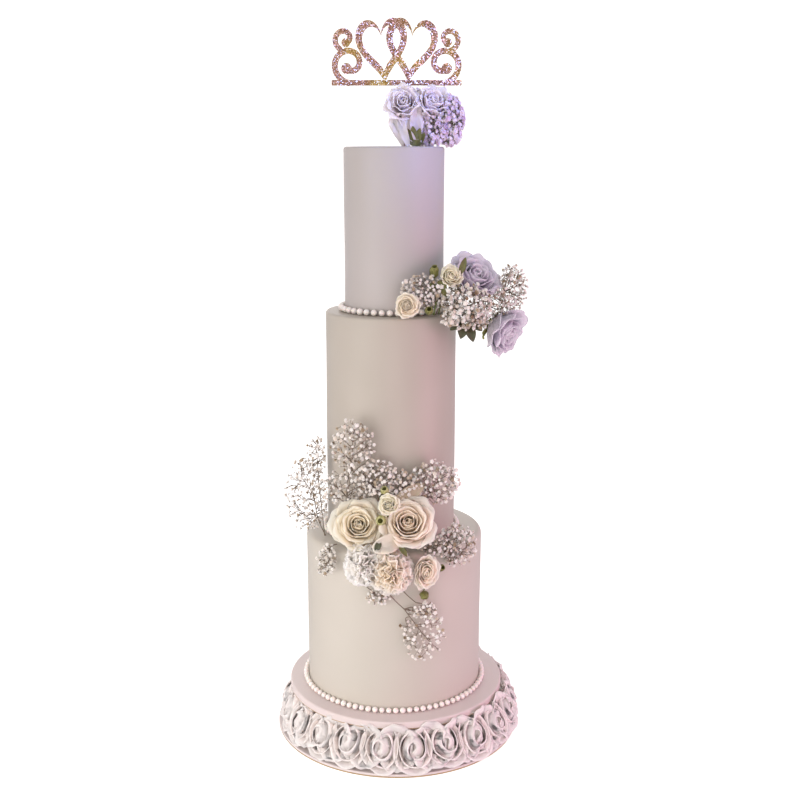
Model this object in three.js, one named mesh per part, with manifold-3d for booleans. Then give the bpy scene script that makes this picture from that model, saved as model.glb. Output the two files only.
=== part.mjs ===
// A three-tier wedding cake on a round stand trimmed with roses.
// Units are millimetres. +Z is up and the front of the cake faces -Y.
// The origin is the middle of the stand's foot, where it stands on a table.
// "bearing" is an angle round the cake in degrees: 0 is the front, positive turns towards +X.
import * as THREE from 'three';
import { mergeVertices } from 'three/addons/utils/BufferGeometryUtils.js';
import Module from 'manifold-3d';

const wasm = await Module();
wasm.setup();
const { Manifold, Mesh: SolidMesh } = wasm;

// ---------------------------------------------------------------- driving dimensions

const GAP = 0.3; // clear space between pieces that touch
const SHARED_VOLUME = 1e-3; // cubic millimetres that two meshes may share before one is cut
const SIMPLIFY = 0.01; // how far a cut surface may move when its smallest triangles are joined
const INCH = 25.4;

const FOOT = { radius: 201, thickness: 6 };
const DRUM = { radius: 150, height: 63, plateRadius: 172, plateThickness: 5 };
const BOARD = { radius: 7 * INCH, thickness: 12, edge: 3 };
const BOARD_BASE = FOOT.thickness + DRUM.height + 2 * GAP;
const STACK_X = -5; // the cake stands a little left of the stand's middle
const BOARD_X = 3; // and its board a little right of the cake

// Radii are those of 11, 8 and 6 inch cakes with their icing. The middle tier stands a little to the left.
const BOTTOM = { radius: 143.5, height: 261, shoulder: 10, x: 0 };
const MIDDLE = { radius: 103.5, height: 358, shoulder: 4, x: -5 };
const TOP = { radius: 78, height: 252, shoulder: 4, x: 0 };
BOTTOM.base = BOARD_BASE + BOARD.thickness + GAP;
MIDDLE.base = BOTTOM.base + BOTTOM.height + GAP;
TOP.base = MIDDLE.base + MIDDLE.height + GAP;
for (const tier of [BOTTOM, MIDDLE, TOP]) tier.top = tier.base + tier.height;

const ROUND_SIDES = 44;
const GOLDEN_ANGLE = Math.PI * (3 - Math.sqrt(5));
const TWIG = { stem: 1.5, knob: 1.7, tip: 0.8 };
const STEM_REST = GAP + TWIG.stem; // how far a stem's end stands off the icing
const BEAD = { diameter: 9.5, pitch: 12.5, neck: 0.5, sides: 4 };

// The ring of roses round the stand: `back` is the radius of the backs of the heads, `middle` their height.
const STAND_ROSES = {
  count: 22, width: 53, height: 62, depth: 41, segments: 8,
  back: 161, middle: 27, ringX: 3, firstStep: 0.42, seed: 11,
};

// The topper's plate, from its middle line at x and the underside of its bar at `base`.
// `inset` is measured in from the plate's end.
const TOPPER = {
  x: 4, plane: -4, base: 1044, width: 205, height: 97, thickness: 3.2,
  bar: { height: 8, inset: 4 },
  heart: { width: 78, height: 96, stroke: 10, lean: 0.09, apart: 17, foot: 1, points: 18 },
  scroll: { inset: 32, height: 32, outer: 29, inner: 9, turns: 1.1, stroke: 9, knob: 8, points: 12 },
  finial: { inset: 24, height: 68, outer: 18, inner: 6, turns: 0.95, stroke: 8, knob: 6.5, points: 8 },
  picks: { at: [12, 52], width: 4, length: 90 },
};

// Shares of a rose's width and depth that shape it.
const ROSE = {
  innerRim: 0.13, outerRim: 0.95, swell: 0.09, waver: 0.03, lift: 0.05, foldDrop: 0.15,
  core: 0.9, bellyWidth: 0.38, bellyDepth: 0.32, neckWidth: 0.06, leastNeck: 2.2,
};

// Colours, as sRGB.
const COLOUR = {
  icing: '#e9e4de',
  bottomIcing: '#e8e0d6',
  board: '#eae2e2',
  stand: '#e6dcdc',
  rim: '#a07c52',
  pearl: '#f6f1ec',
  artificialRose: '#efe6e6',
  whiteRose: '#efe9e4',
  creamRose: '#eee9d2',
  blushRose: '#efdfd6',
  lilacRose: '#d3cfe0',
  gypsophila: '#e6e0dd',
  bud: '#6f7440',
  leaf: '#596236',
  glitter: '#b98e52',
};

// ---------------------------------------------------------------- helpers

// A repeatable stream of numbers from 0 to 1.
function numbersFrom(seed) {
  let state = seed * 2654435761 % 4294967296;
  return () => {
    state = (state * 1664525 + 1013904223) % 4294967296;
    return state / 4294967296;
  };
}

const mix = (a, b, t) => a + (b - a) * t;
const at = (x, y, z) => new THREE.Vector3(x, y, z);

function around(bearing, radius, height, centreX = 0) {
  const angle = THREE.MathUtils.degToRad(bearing);
  return new THREE.Vector3(centreX + radius * Math.sin(angle), -radius * Math.cos(angle), height);
}

// The direction that leaves the cake at a bearing, turned up by a tilt.
function outward(bearing, tilt) {
  const lift = THREE.MathUtils.degToRad(tilt);
  const flat = around(bearing, Math.cos(lift), 0);
  return flat.setZ(Math.sin(lift));
}

function geometryFrom(points, triangles) {
  const geometry = new THREE.BufferGeometry();
  const numbers = points.flatMap((point) => [point.x, point.y, point.z]);
  geometry.setAttribute('position', new THREE.Float32BufferAttribute(numbers, 3));
  geometry.setIndex(triangles);
  geometry.computeVertexNormals();
  return geometry;
}

function solidOf(geometry) {
  const plain = geometry.clone();
  plain.deleteAttribute('normal');
  plain.deleteAttribute('uv');
  const merged = mergeVertices(plain, 1e-3);
  return new Manifold(new SolidMesh({
    numProp: 3,
    vertProperties: new Float32Array(merged.attributes.position.array),
    triVerts: new Uint32Array(merged.index.array),
  }));
}

function geometryOf(solid) {
  const { vertProperties, triVerts, numProp } = solid.getMesh();
  const points = [];
  for (let i = 0; i < vertProperties.length; i += numProp) {
    points.push(new THREE.Vector3(vertProperties[i], vertProperties[i + 1], vertProperties[i + 2]));
  }
  return geometryFrom(points, Array.from(triVerts));
}

const union = (geometries) => geometryOf(geometries.map(solidOf).reduce((whole, piece) => whole.add(piece)));

function paint(colour, roughness, metalness = 0) {
  return new THREE.MeshStandardMaterial({ color: colour, roughness, metalness });
}

function piece(name, geometry, material, position = new THREE.Vector3()) {
  const mesh = new THREE.Mesh(geometry, material);
  mesh.name = name;
  mesh.position.copy(position);
  return mesh;
}

// ---------------------------------------------------------------- round pieces

// A solid disc or drum standing on z = 0. Its upper edge is a quarter round of `shoulder`, in `steps` flats.
function drumGeometry(radius, height, shoulder, steps) {
  const profile = [new THREE.Vector2(0, 0), new THREE.Vector2(radius, 0)];
  for (let i = 0; i <= steps; i++) {
    const angle = (i / steps) * (Math.PI / 2);
    const across = radius - shoulder * (1 - Math.cos(angle));
    profile.push(new THREE.Vector2(across, height - shoulder * (1 - Math.sin(angle))));
  }
  profile.push(new THREE.Vector2(0, height));
  return new THREE.LatheGeometry(profile, ROUND_SIDES).rotateX(Math.PI / 2);
}

function plainDrum(radius, height) {
  const upright = new THREE.CylinderGeometry(radius, radius, height, ROUND_SIDES).rotateX(Math.PI / 2);
  return upright.translate(0, 0, height / 2);
}

function tierPiece(name, tier, colour) {
  const geometry = drumGeometry(tier.radius, tier.height, tier.shoulder, tier.shoulder > 5 ? 3 : 2);
  return piece(name, geometry, paint(colour, 0.55), new THREE.Vector3(tier.x, 0, tier.base));
}

// A closed ring of beads joined at their necks, lying on z = 0.
function beadRingGeometry(ringRadius) {
  const beads = Math.round((2 * Math.PI * ringRadius) / BEAD.pitch);
  const stations = 2 * beads;
  const points = [];
  const triangles = [];
  for (let i = 0; i < stations; i++) {
    const size = (BEAD.diameter / 2) * (i % 2 === 0 ? 1 : BEAD.neck);
    const turn = (i / stations) * 2 * Math.PI;
    for (let j = 0; j < BEAD.sides; j++) {
      const roll = (j / BEAD.sides) * 2 * Math.PI - Math.PI / 2;
      const reach = ringRadius + size * Math.cos(roll);
      const height = BEAD.diameter / 2 + size * Math.sin(roll);
      points.push(new THREE.Vector3(reach * Math.cos(turn), reach * Math.sin(turn), height));
      const here = i * BEAD.sides + j;
      const side = i * BEAD.sides + ((j + 1) % BEAD.sides);
      const next = ((i + 1) % stations) * BEAD.sides + j;
      const nextSide = ((i + 1) % stations) * BEAD.sides + ((j + 1) % BEAD.sides);
      triangles.push(here, nextSide, side, here, next, nextSide);
    }
  }
  return geometryFrom(points, triangles);
}

function borderPiece(name, tier) {
  const geometry = beadRingGeometry(tier.radius + GAP + BEAD.diameter / 2);
  return piece(name, geometry, paint(COLOUR.pearl, 0.35), new THREE.Vector3(tier.x, 0, tier.base));
}

// ---------------------------------------------------------------- flowers

// Flowers are made facing +Z, with the back of the head at z = 0 and a stem tapering to the point stemEnd.
// A rose is one surface that follows its petals' rim in a spiral: up each rim, down into the fold behind it.
// `petal` is how many segments of the rim make a petal, and `outerLevel` the height of the outermost rim.
function roseGeometry(options) {
  const { width, height = width, depth, turns = 3, segments = 8, petal = 4, outerLevel = 0.6 } = options;
  const random = numbersFrom(options.seed);
  const stations = Math.round(turns * segments);
  const folds = stations - segments;
  const points = [];
  const add = (angle, radius, level) => {
    points.push(new THREE.Vector3(radius * Math.cos(angle), radius * Math.sin(angle), level));
    return points.length - 1;
  };
  const angleAt = (k) => (k / segments) * 2 * Math.PI;

  const rims = [];
  for (let k = 0; k <= stations; k++) {
    const t = k / stations;
    const swell = Math.sin(((k % petal) / petal) * Math.PI);
    const spread = mix(ROSE.innerRim, ROSE.outerRim, Math.pow(t, 0.9));
    const radius = (width / 2) * spread * (1 + ROSE.swell * swell * t + ROSE.waver * random());
    const level = depth * (mix(outerLevel, ROSE.outerRim, Math.cos((t * Math.PI) / 2)) + ROSE.lift * swell);
    rims.push({ radius, level });
  }
  const core = add(0, 0, depth * ROSE.core);
  const rim = rims.map(({ radius, level }, k) => add(angleAt(k), radius, level));
  const fold = [];
  for (let k = 0; k <= folds; k++) {
    const inner = rims[k];
    const outer = rims[k + segments];
    const level = Math.min(inner.level, outer.level) - ROSE.foldDrop * depth;
    fold.push(add(angleAt(k), (inner.radius + outer.radius) / 2, level));
  }
  const belly = [];
  const neck = [];
  const neckRadius = Math.max(width * ROSE.neckWidth, ROSE.leastNeck);
  for (let j = 0; j < segments; j++) {
    belly.push(add(angleAt(j), width * ROSE.bellyWidth, depth * ROSE.bellyDepth));
    neck.push(add(angleAt(j), neckRadius, 0));
  }
  const box = new THREE.Box3().setFromPoints(points);
  const scale = new THREE.Vector3(width / (box.max.x - box.min.x), height / (box.max.y - box.min.y), 1);
  for (const point of points) point.multiply(scale);
  points.push(options.stemEnd);
  const tip = points.length - 1;

  const triangles = [];
  const band = (a, b, c, d) => triangles.push(a, b, c, a, c, d);
  for (let k = 0; k < segments; k++) triangles.push(core, rim[k], rim[k + 1]);
  band(core, rim[segments], fold[0], rim[0]);
  for (let k = 0; k < folds; k++) {
    band(rim[k], fold[k], fold[k + 1], rim[k + 1]);
    band(fold[k], rim[k + segments], rim[k + segments + 1], fold[k + 1]);
  }
  for (let k = folds; k < stations; k++) {
    band(rim[k], belly[k % segments], belly[(k + 1) % segments], rim[k + 1]);
  }
  band(rim[folds], fold[folds], rim[stations], belly[stations % segments]);
  for (let j = 0; j < segments; j++) {
    const next = (j + 1) % segments;
    band(belly[j], neck[j], neck[next], belly[next]);
    triangles.push(neck[j], tip, neck[next]);
  }
  return geometryFrom(points, triangles);
}

// A ball of ruffles: rings of points that step in and out, each ring's steps against those of the next.
function carnationGeometry({ width, depth, spokes = 12, seed, stemEnd }) {
  const random = numbersFrom(seed);
  const rings = [
    { polar: 20, reach: 0.92 },
    { polar: 42, reach: 1 },
    { polar: 64, reach: 0.9 },
    { polar: 88, reach: 1 },
    { polar: 122, reach: 0.72 },
  ];
  const middle = depth * 0.45;
  const points = [new THREE.Vector3(0, 0, depth * 0.93)];
  for (const [r, { polar, reach }] of rings.entries()) {
    for (let j = 0; j < spokes; j++) {
      const ruffle = (j + r) % 2 === 0 ? 1 : 0.84;
      const size = reach * ruffle * mix(0.95, 1.03, random());
      const angle = ((j + r * 0.35) / spokes) * 2 * Math.PI;
      const down = THREE.MathUtils.degToRad(polar);
      const across = (width / 2) * size * Math.sin(down);
      const level = middle + depth * 0.55 * size * Math.cos(down);
      points.push(new THREE.Vector3(across * Math.cos(angle), across * Math.sin(angle), level));
    }
  }
  points.push(stemEnd);
  return geometryFrom(points, cappedRings(rings.length, spokes));
}

// Triangles of rings of points between a first point and a last one.
function cappedRings(rings, sides) {
  const triangles = [];
  const at = (ring, j) => 1 + ring * sides + (j % sides);
  const last = 1 + rings * sides;
  for (let j = 0; j < sides; j++) {
    triangles.push(0, at(0, j), at(0, j + 1));
    for (let ring = 0; ring < rings - 1; ring++) {
      triangles.push(at(ring, j), at(ring + 1, j), at(ring + 1, j + 1));
      triangles.push(at(ring, j), at(ring + 1, j + 1), at(ring, j + 1));
    }
    triangles.push(at(rings - 1, j), last, at(rings - 1, j + 1));
  }
  return triangles;
}

// A closed bud: a pointed egg, from its tip down to a thin stem.
function budGeometry({ width, length, sides = 6, stemEnd }) {
  const rings = [
    { across: 0.55, level: 0.82 },
    { across: 1, level: 0.45 },
    { across: 0.75, level: 0.12 },
    { across: 0.22, level: 0 },
  ];
  const points = [new THREE.Vector3(0, 0, length)];
  for (const { across, level } of rings) {
    for (let j = 0; j < sides; j++) {
      const angle = (j / sides) * 2 * Math.PI;
      const reach = (width / 2) * across;
      points.push(new THREE.Vector3(reach * Math.cos(angle), reach * Math.sin(angle), length * level));
    }
  }
  points.push(stemEnd);
  return geometryFrom(points, cappedRings(rings.length, sides));
}

// A thin wavy leaf from `from` to `to`, its broad side towards `face`.
function leafGeometry(from, to, width, face, thickness = 1.4) {
  const along = to.clone().sub(from);
  const side = new THREE.Vector3().crossVectors(face, along).normalize();
  const up = new THREE.Vector3().crossVectors(along, side).normalize();
  const steps = 4;
  const points = [from.clone()];
  for (let i = 1; i < steps; i++) {
    const t = i / steps;
    const half = (width / 2) * Math.sin(Math.PI * Math.pow(t, 0.8));
    const wave = width * 0.12 * Math.sin(t * 2 * Math.PI);
    const middle = from.clone().addScaledVector(along, t).addScaledVector(up, wave);
    const rise = thickness / 2;
    const fold = half * 0.25;
    for (const [across, level] of [[1, fold], [0, rise], [-1, fold], [0, -rise]]) {
      points.push(middle.clone().addScaledVector(side, half * across).addScaledVector(up, level));
    }
  }
  points.push(to.clone());
  return geometryFrom(points, cappedRings(steps - 1, 4).reverse());
}

// A straight three-sided twig.
function twigGeometry(from, to, startRadius, endRadius) {
  const along = to.clone().sub(from).normalize();
  const start = from.clone().addScaledVector(along, -startRadius * 0.6);
  const end = to.clone().addScaledVector(along, endRadius * 0.6);
  const across = new THREE.Vector3(-along.y, along.x, 0.3).cross(along).normalize();
  const points = [];
  for (const [centre, radius] of [[start, startRadius], [end, endRadius]]) {
    for (let j = 0; j < 3; j++) {
      const spoke = across.clone().applyAxisAngle(along, (j * 2 * Math.PI) / 3);
      points.push(centre.clone().addScaledVector(spoke, radius));
    }
  }
  const triangles = [0, 2, 1, 3, 4, 5];
  for (let j = 0; j < 3; j++) {
    const next = (j + 1) % 3;
    triangles.push(j, next, 3 + next, j, 3 + next, 3 + j);
  }
  return geometryFrom(points, triangles);
}

// Keeps a point at least `margin` off the side and top of each tier.
function clearOfCake(point, margin) {
  const clear = point.clone();
  for (const tier of [BOTTOM, MIDDLE, TOP]) {
    const reach = Math.hypot(clear.x - tier.x, clear.y);
    const inside = reach < tier.radius + margin && clear.z < tier.top + margin && clear.z > tier.base;
    if (!inside) continue;
    const above = tier.top + margin - clear.z;
    const beyond = tier.radius + margin - reach;
    if (above < beyond) {
      clear.z += above;
    } else {
      const grow = (tier.radius + margin) / reach;
      clear.set(tier.x + (clear.x - tier.x) * grow, clear.y * grow, clear.z);
    }
  }
  return clear;
}

// A branching spray of gypsophila, as one skin. It goes from root to neck, and there forks into boughs.
// Each bough forks into twigs that end in florets, spread through an egg of half sizes `reach` round `middle`.
function sprayGeometry({ root, neck, middle, reach, florets, floret = 4, seed }) {
  const random = numbersFrom(seed);
  const tips = [];
  for (let i = 0; i < florets; i++) {
    const turn = i * GOLDEN_ANGLE + random();
    const level = 1 - (2 * (i + 0.5)) / florets;
    const ring = Math.sqrt(1 - level * level);
    const offset = new THREE.Vector3(ring * Math.cos(turn), ring * Math.sin(turn), level);
    const tip = middle.clone().add(offset.multiply(reach).multiplyScalar(mix(0.72, 1, random())));
    tips.push(clearOfCake(tip, floret + 1));
  }
  const skin = { points: [], triangles: [] };
  const stem = endTriangle(skin, root, neck.clone().sub(root), TWIG.stem);
  skin.triangles.push(stem[0], stem[2], stem[1]);
  const ways = forkSkin(skin, stem, neck, bunches(tips, neck).map((bunch) => bunch.fork));
  for (const [i, { fork, tips: ends }] of bunches(tips, neck).entries()) {
    const twigs = forkSkin(skin, ways[i], fork, ends);
    for (const [j, end] of ends.entries()) {
      floretSkin(skin, twigs[j], fork, end, floret * mix(0.85, 1.15, random()));
    }
  }
  return geometryFrom(skin.points, skin.triangles);
}

// Shares the tips between at most four boughs by their angle round the way they grow, with a fork for each.
function bunches(tips, neck) {
  const centre = tips.reduce((sum, tip) => sum.add(tip), new THREE.Vector3()).divideScalar(tips.length);
  const along = centre.clone().sub(neck).normalize();
  const side = new THREE.Vector3(along.y, -along.x, 0.01).normalize();
  const other = new THREE.Vector3().crossVectors(along, side);
  const angle = (tip) => Math.atan2(tip.clone().sub(centre).dot(other), tip.clone().sub(centre).dot(side));
  const sorted = [...tips].sort((a, b) => angle(a) - angle(b));
  const size = Math.ceil(tips.length / 4);
  const groups = [];
  for (let i = 0; i < sorted.length; i += size) {
    const members = sorted.slice(i, i + size);
    const mean = members.reduce((sum, tip) => sum.add(tip), new THREE.Vector3()).divideScalar(members.length);
    groups.push({ tips: members, fork: clearOfCake(neck.clone().lerp(mean, 0.45), 3) });
  }
  return groups;
}

// Adds a triangle of points about a place, square to a direction, and gives their numbers.
function endTriangle(skin, place, direction, radius, turn = 0) {
  const along = direction.clone().normalize();
  const across = new THREE.Vector3(-along.y, along.x, 0.3).cross(along).normalize();
  const first = skin.points.length;
  for (let j = 0; j < 3; j++) {
    const spoke = across.clone().applyAxisAngle(along, turn + (j * 2 * Math.PI) / 3);
    skin.points.push(place.clone().addScaledVector(spoke, radius));
  }
  return [first, first + 1, first + 2];
}

// Joins two triangles of points with the sides of a three-sided tube, turned so that it twists least.
function tubeSkin(skin, from, to) {
  const gap = (j, shift) => skin.points[from[j]].distanceTo(skin.points[to[(j + shift) % 3]]);
  const length = (shift) => gap(0, shift) + gap(1, shift) + gap(2, shift);
  const shift = [0, 1, 2].sort((a, b) => length(a) - length(b))[0];
  const end = [0, 1, 2].map((j) => to[(j + shift) % 3]);
  for (let j = 0; j < 3; j++) {
    const next = (j + 1) % 3;
    skin.triangles.push(from[j], from[next], end[next], from[j], end[next], end[j]);
  }
}

// A fork: a small eight-sided knob at the end of a tube, with one of its faces opened towards each target.
function forkSkin(skin, tube, place, targets) {
  const start = tube.reduce((sum, p) => sum.add(skin.points[p]), new THREE.Vector3()).divideScalar(3);
  const along = place.clone().sub(start).normalize();
  const offset = along.clone().multiplyScalar(TWIG.knob * 0.6);
  const back = endTriangle(skin, place.clone().sub(offset), along, TWIG.knob);
  const front = endTriangle(skin, place.clone().add(offset), along, TWIG.knob, Math.PI / 3);
  tubeSkin(skin, tube, back);
  const faces = [[...front]];
  for (let j = 0; j < 3; j++) {
    const next = (j + 1) % 3;
    faces.push([back[j], back[next], front[j]], [back[next], front[next], front[j]]);
  }
  const heading = (face) => {
    const [a, b, c] = face.map((p) => skin.points[p]);
    return b.clone().sub(a).cross(c.clone().sub(a)).normalize();
  };
  const opened = targets.map((target) => {
    const aim = target.clone().sub(place).normalize();
    faces.sort((a, b) => heading(b).dot(aim) - heading(a).dot(aim));
    return faces.shift();
  });
  for (const face of faces) skin.triangles.push(...face);
  return opened;
}

// A twig that grows from an opened face and ends in a floret.
function floretSkin(skin, face, from, end, size) {
  const along = end.clone().sub(from).normalize();
  const neck = endTriangle(skin, end.clone().addScaledVector(along, -size), along, TWIG.tip);
  const wide = endTriangle(skin, end, along, size);
  tubeSkin(skin, face, neck);
  tubeSkin(skin, neck, wide);
  skin.points.push(end.clone().addScaledVector(along, size * 0.8));
  const top = skin.points.length - 1;
  for (let j = 0; j < 3; j++) skin.triangles.push(wide[j], wide[(j + 1) % 3], top);
}

// ---------------------------------------------------------------- placing flowers

// Turns a flower made facing +Z so that it faces `facing`, with its own Y as near upright as that allows.
function turnTo(mesh, facing, roll = 0) {
  const upright = Math.abs(facing.z) > 0.98 ? new THREE.Vector3(0, 1, 0) : new THREE.Vector3(0, 0, 1);
  const right = new THREE.Vector3().crossVectors(upright, facing).normalize();
  const up = new THREE.Vector3().crossVectors(facing, right);
  mesh.quaternion.setFromRotationMatrix(new THREE.Matrix4().makeBasis(right, up, facing));
  mesh.rotateZ(THREE.MathUtils.degToRad(roll));
}

// A flower head at `place` facing a bearing and tilt, on a stem that ends at `anchor` on the cake.
function flower(name, build, options, material, { place, bearing, tilt, roll = 0, anchor }) {
  const mesh = new THREE.Mesh();
  mesh.name = name;
  mesh.material = material;
  mesh.position.copy(place);
  turnTo(mesh, outward(bearing, tilt), roll);
  mesh.updateMatrix();
  const stemEnd = anchor.clone().applyMatrix4(mesh.matrix.clone().invert());
  stemEnd.z = Math.min(stemEnd.z, -1);
  mesh.geometry = build({ ...options, stemEnd });
  return mesh;
}

// A solid with every point moved out along its normal, for cutting clearance.
function grown(geometry, distance) {
  const plain = geometry.clone();
  plain.deleteAttribute('normal');
  plain.deleteAttribute('uv');
  const merged = mergeVertices(plain, 1e-3);
  merged.computeVertexNormals();
  const { position, normal } = merged.attributes;
  for (let i = 0; i < position.count; i++) {
    position.setXYZ(
      i,
      position.getX(i) + distance * normal.getX(i),
      position.getY(i) + distance * normal.getY(i),
      position.getZ(i) + distance * normal.getZ(i),
    );
  }
  return merged;
}

// Cuts from a mesh whatever it shares with the meshes placed before it, and leaves about GAP between them.
// The cutter is the other mesh joined with two copies grown by different amounts, so that it has no thin parts.
function fitBeside(mesh, earlier) {
  const box = new THREE.Box3().setFromObject(mesh);
  const toLocal = mesh.matrixWorld.clone().invert();
  let solid = solidOf(mesh.geometry);
  let cut = false;
  for (const other of earlier) {
    if (!box.intersectsBox(new THREE.Box3().setFromObject(other).expandByScalar(GAP))) continue;
    const placed = other.geometry.clone().applyMatrix4(toLocal.clone().multiply(other.matrixWorld));
    const copies = [placed, grown(placed, GAP / 2), grown(placed, 1.5 * GAP)].map(solidOf);
    const cutter = copies[0].add(copies[1]).add(copies[2]);
    if (solid.intersect(cutter).volume() < SHARED_VOLUME) continue;
    solid = solid.subtract(cutter);
    cut = true;
  }
  if (!cut) return;
  const largest = solid.decompose().sort((a, b) => b.volume() - a.volume())[0];
  mesh.geometry = geometryOf(largest.simplify(SIMPLIFY));
}

// ---------------------------------------------------------------- stand

function buildStand() {
  const stand = new THREE.Group();
  const foot = plainDrum(FOOT.radius, FOOT.thickness);
  stand.add(piece('stand_foot', foot, paint(COLOUR.rim, 0.45, 0.3)));
  const shelf = DRUM.height - DRUM.plateThickness;
  const profile = [
    new THREE.Vector2(0, 0),
    new THREE.Vector2(DRUM.radius, 0),
    new THREE.Vector2(DRUM.radius, shelf),
    new THREE.Vector2(DRUM.plateRadius, shelf),
    new THREE.Vector2(DRUM.plateRadius, DRUM.height),
    new THREE.Vector2(0, DRUM.height),
  ];
  const drum = new THREE.LatheGeometry(profile, ROUND_SIDES).rotateX(Math.PI / 2);
  stand.add(piece('stand_drum', drum, paint(COLOUR.stand, 0.5), at(0, 0, FOOT.thickness + GAP)));
  return stand;
}

function buildRoseRing() {
  const roses = [];
  const material = paint(COLOUR.artificialRose, 0.6);
  const step = 360 / STAND_ROSES.count;
  const random = numbersFrom(STAND_ROSES.seed);
  for (let i = 0; i < STAND_ROSES.count; i++) {
    const bearing = (i + STAND_ROSES.firstStep) * step + mix(-0.3, 0.3, random());
    const tilt = mix(20, 28, random());
    const level = STAND_ROSES.middle + mix(-1.5, 1.5, random());
    const back = around(bearing, STAND_ROSES.back, level, STAND_ROSES.ringX);
    const anchor = around(bearing, DRUM.radius + 2 * GAP, STAND_ROSES.middle - 3);
    const options = {
      width: STAND_ROSES.width * mix(0.95, 1, random()),
      height: STAND_ROSES.height * mix(0.9, 1, random()),
      depth: STAND_ROSES.depth * mix(0.9, 1, random()),
      segments: STAND_ROSES.segments,
      seed: 100 + i,
    };
    const name = `stand_rose_${String(i + 1).padStart(2, '0')}`;
    const where = { place: back, bearing, tilt, roll: mix(-6, 6, random()), anchor };
    roses.push(flower(name, roseGeometry, options, material, where));
  }
  return roses;
}

// ---------------------------------------------------------------- topper

// A flat plate with the outline given, and with a hole if one is given.
function plateGeometry(outline, hole) {
  const shape = new THREE.Shape(outline);
  if (hole) shape.holes.push(new THREE.Path(hole));
  return new THREE.ExtrudeGeometry(shape, { depth: TOPPER.thickness, bevelEnabled: false });
}

// A flat stroke of one width along a line of points.
function strokeGeometry(points, width) {
  const left = [];
  const right = [];
  for (const [i, point] of points.entries()) {
    const before = points[Math.max(i - 1, 0)];
    const after = points[Math.min(i + 1, points.length - 1)];
    const along = after.clone().sub(before).normalize();
    const normal = new THREE.Vector2(-along.y, along.x);
    left.push(point.clone().addScaledVector(normal, width / 2));
    right.unshift(point.clone().addScaledVector(normal, -width / 2));
  }
  return plateGeometry([...left, ...right]);
}

// An open heart whose tip points down to `foot`.
function heartGeometry(foot, lean) {
  const { width, height, stroke, points: count } = TOPPER.heart;
  const curve = (t) => 13 * Math.cos(t) - 5 * Math.cos(2 * t) - 2 * Math.cos(3 * t) - Math.cos(4 * t);
  const lowest = -17;
  const highest = 12;
  const outline = (inset) => {
    const points = [];
    for (let i = 0; i < count; i++) {
      const t = ((i + 0.5) / count) * 2 * Math.PI;
      const across = Math.pow(Math.sin(t), 3) * (width / 2 - inset);
      const rise = mix(inset * 1.9, height - inset, (curve(t) - lowest) / (highest - lowest));
      points.push(new THREE.Vector2(across, rise).rotateAround(new THREE.Vector2(), lean).add(foot));
    }
    return points;
  };
  return plateGeometry(outline(0), outline(stroke).reverse());
}

// A scroll that starts at the foot of its circle, curls inwards and ends in a knob.
function scrollPieces(side, { inset, height, outer, inner, turns, stroke, knob, points: count }) {
  const centre = new THREE.Vector2(TOPPER.width / 2 - inset, height);
  const points = [];
  for (let i = 0; i <= count; i++) {
    const t = i / count;
    const angle = -Math.PI / 2 + t * turns * 2 * Math.PI;
    const radius = mix(outer, inner, Math.pow(t, 0.8));
    const across = centre.x + radius * Math.cos(angle);
    points.push(new THREE.Vector2(side * across, centre.y + radius * Math.sin(angle)));
  }
  return [strokeGeometry(points, stroke), disc(points[count], knob)];
}

function disc(centre, radius, sides = 7) {
  const outline = [];
  for (let i = 0; i < sides; i++) {
    const angle = (i / sides) * 2 * Math.PI;
    outline.push(new THREE.Vector2(centre.x + radius * Math.cos(angle), centre.y + radius * Math.sin(angle)));
  }
  return plateGeometry(outline);
}

// Two linked hearts between scrolls, on a bar with two picks.
function buildTopper() {
  const { bar, heart, scroll, finial, picks } = TOPPER;
  const end = TOPPER.width / 2 - bar.inset;
  const middle = bar.height / 2;
  const line = (x1, y1, x2, y2) => [new THREE.Vector2(x1, y1), new THREE.Vector2(x2, y2)];
  const parts = [strokeGeometry(line(-end, middle, end, middle), bar.height)];
  for (const side of [-1, 1]) {
    parts.push(heartGeometry(new THREE.Vector2(side * heart.apart, heart.foot), -side * heart.lean));
    parts.push(...scrollPieces(side, scroll), ...scrollPieces(side, finial));
  }
  for (const x of picks.at) parts.push(strokeGeometry(line(x, middle, x, -picks.length), picks.width));
  const geometry = union(parts).rotateX(Math.PI / 2);
  return piece('topper', geometry, paint(COLOUR.glitter, 0.4, 0.6), at(TOPPER.x, TOPPER.plane, TOPPER.base));
}

// ---------------------------------------------------------------- flower clusters

const whiteRose = paint(COLOUR.whiteRose, 0.65);
const creamRose = paint(COLOUR.creamRose, 0.65);
const blushRose = paint(COLOUR.blushRose, 0.65);
const lilacRose = paint(COLOUR.lilacRose, 0.65);
const gypsophila = paint(COLOUR.gypsophila, 0.8);
const budGreen = paint(COLOUR.bud, 0.7);
const leafGreen = paint(COLOUR.leaf, 0.7);

const FULL_ROSE = { turns: 4, segments: 10, petal: 5 };
const SMALL_ROSE = { turns: 3, segments: 8 };

function spray(name, root, options) {
  const geometry = sprayGeometry({ root, ...options }).translate(-root.x, -root.y, -root.z);
  return piece(name, geometry, gypsophila, root);
}

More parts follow.
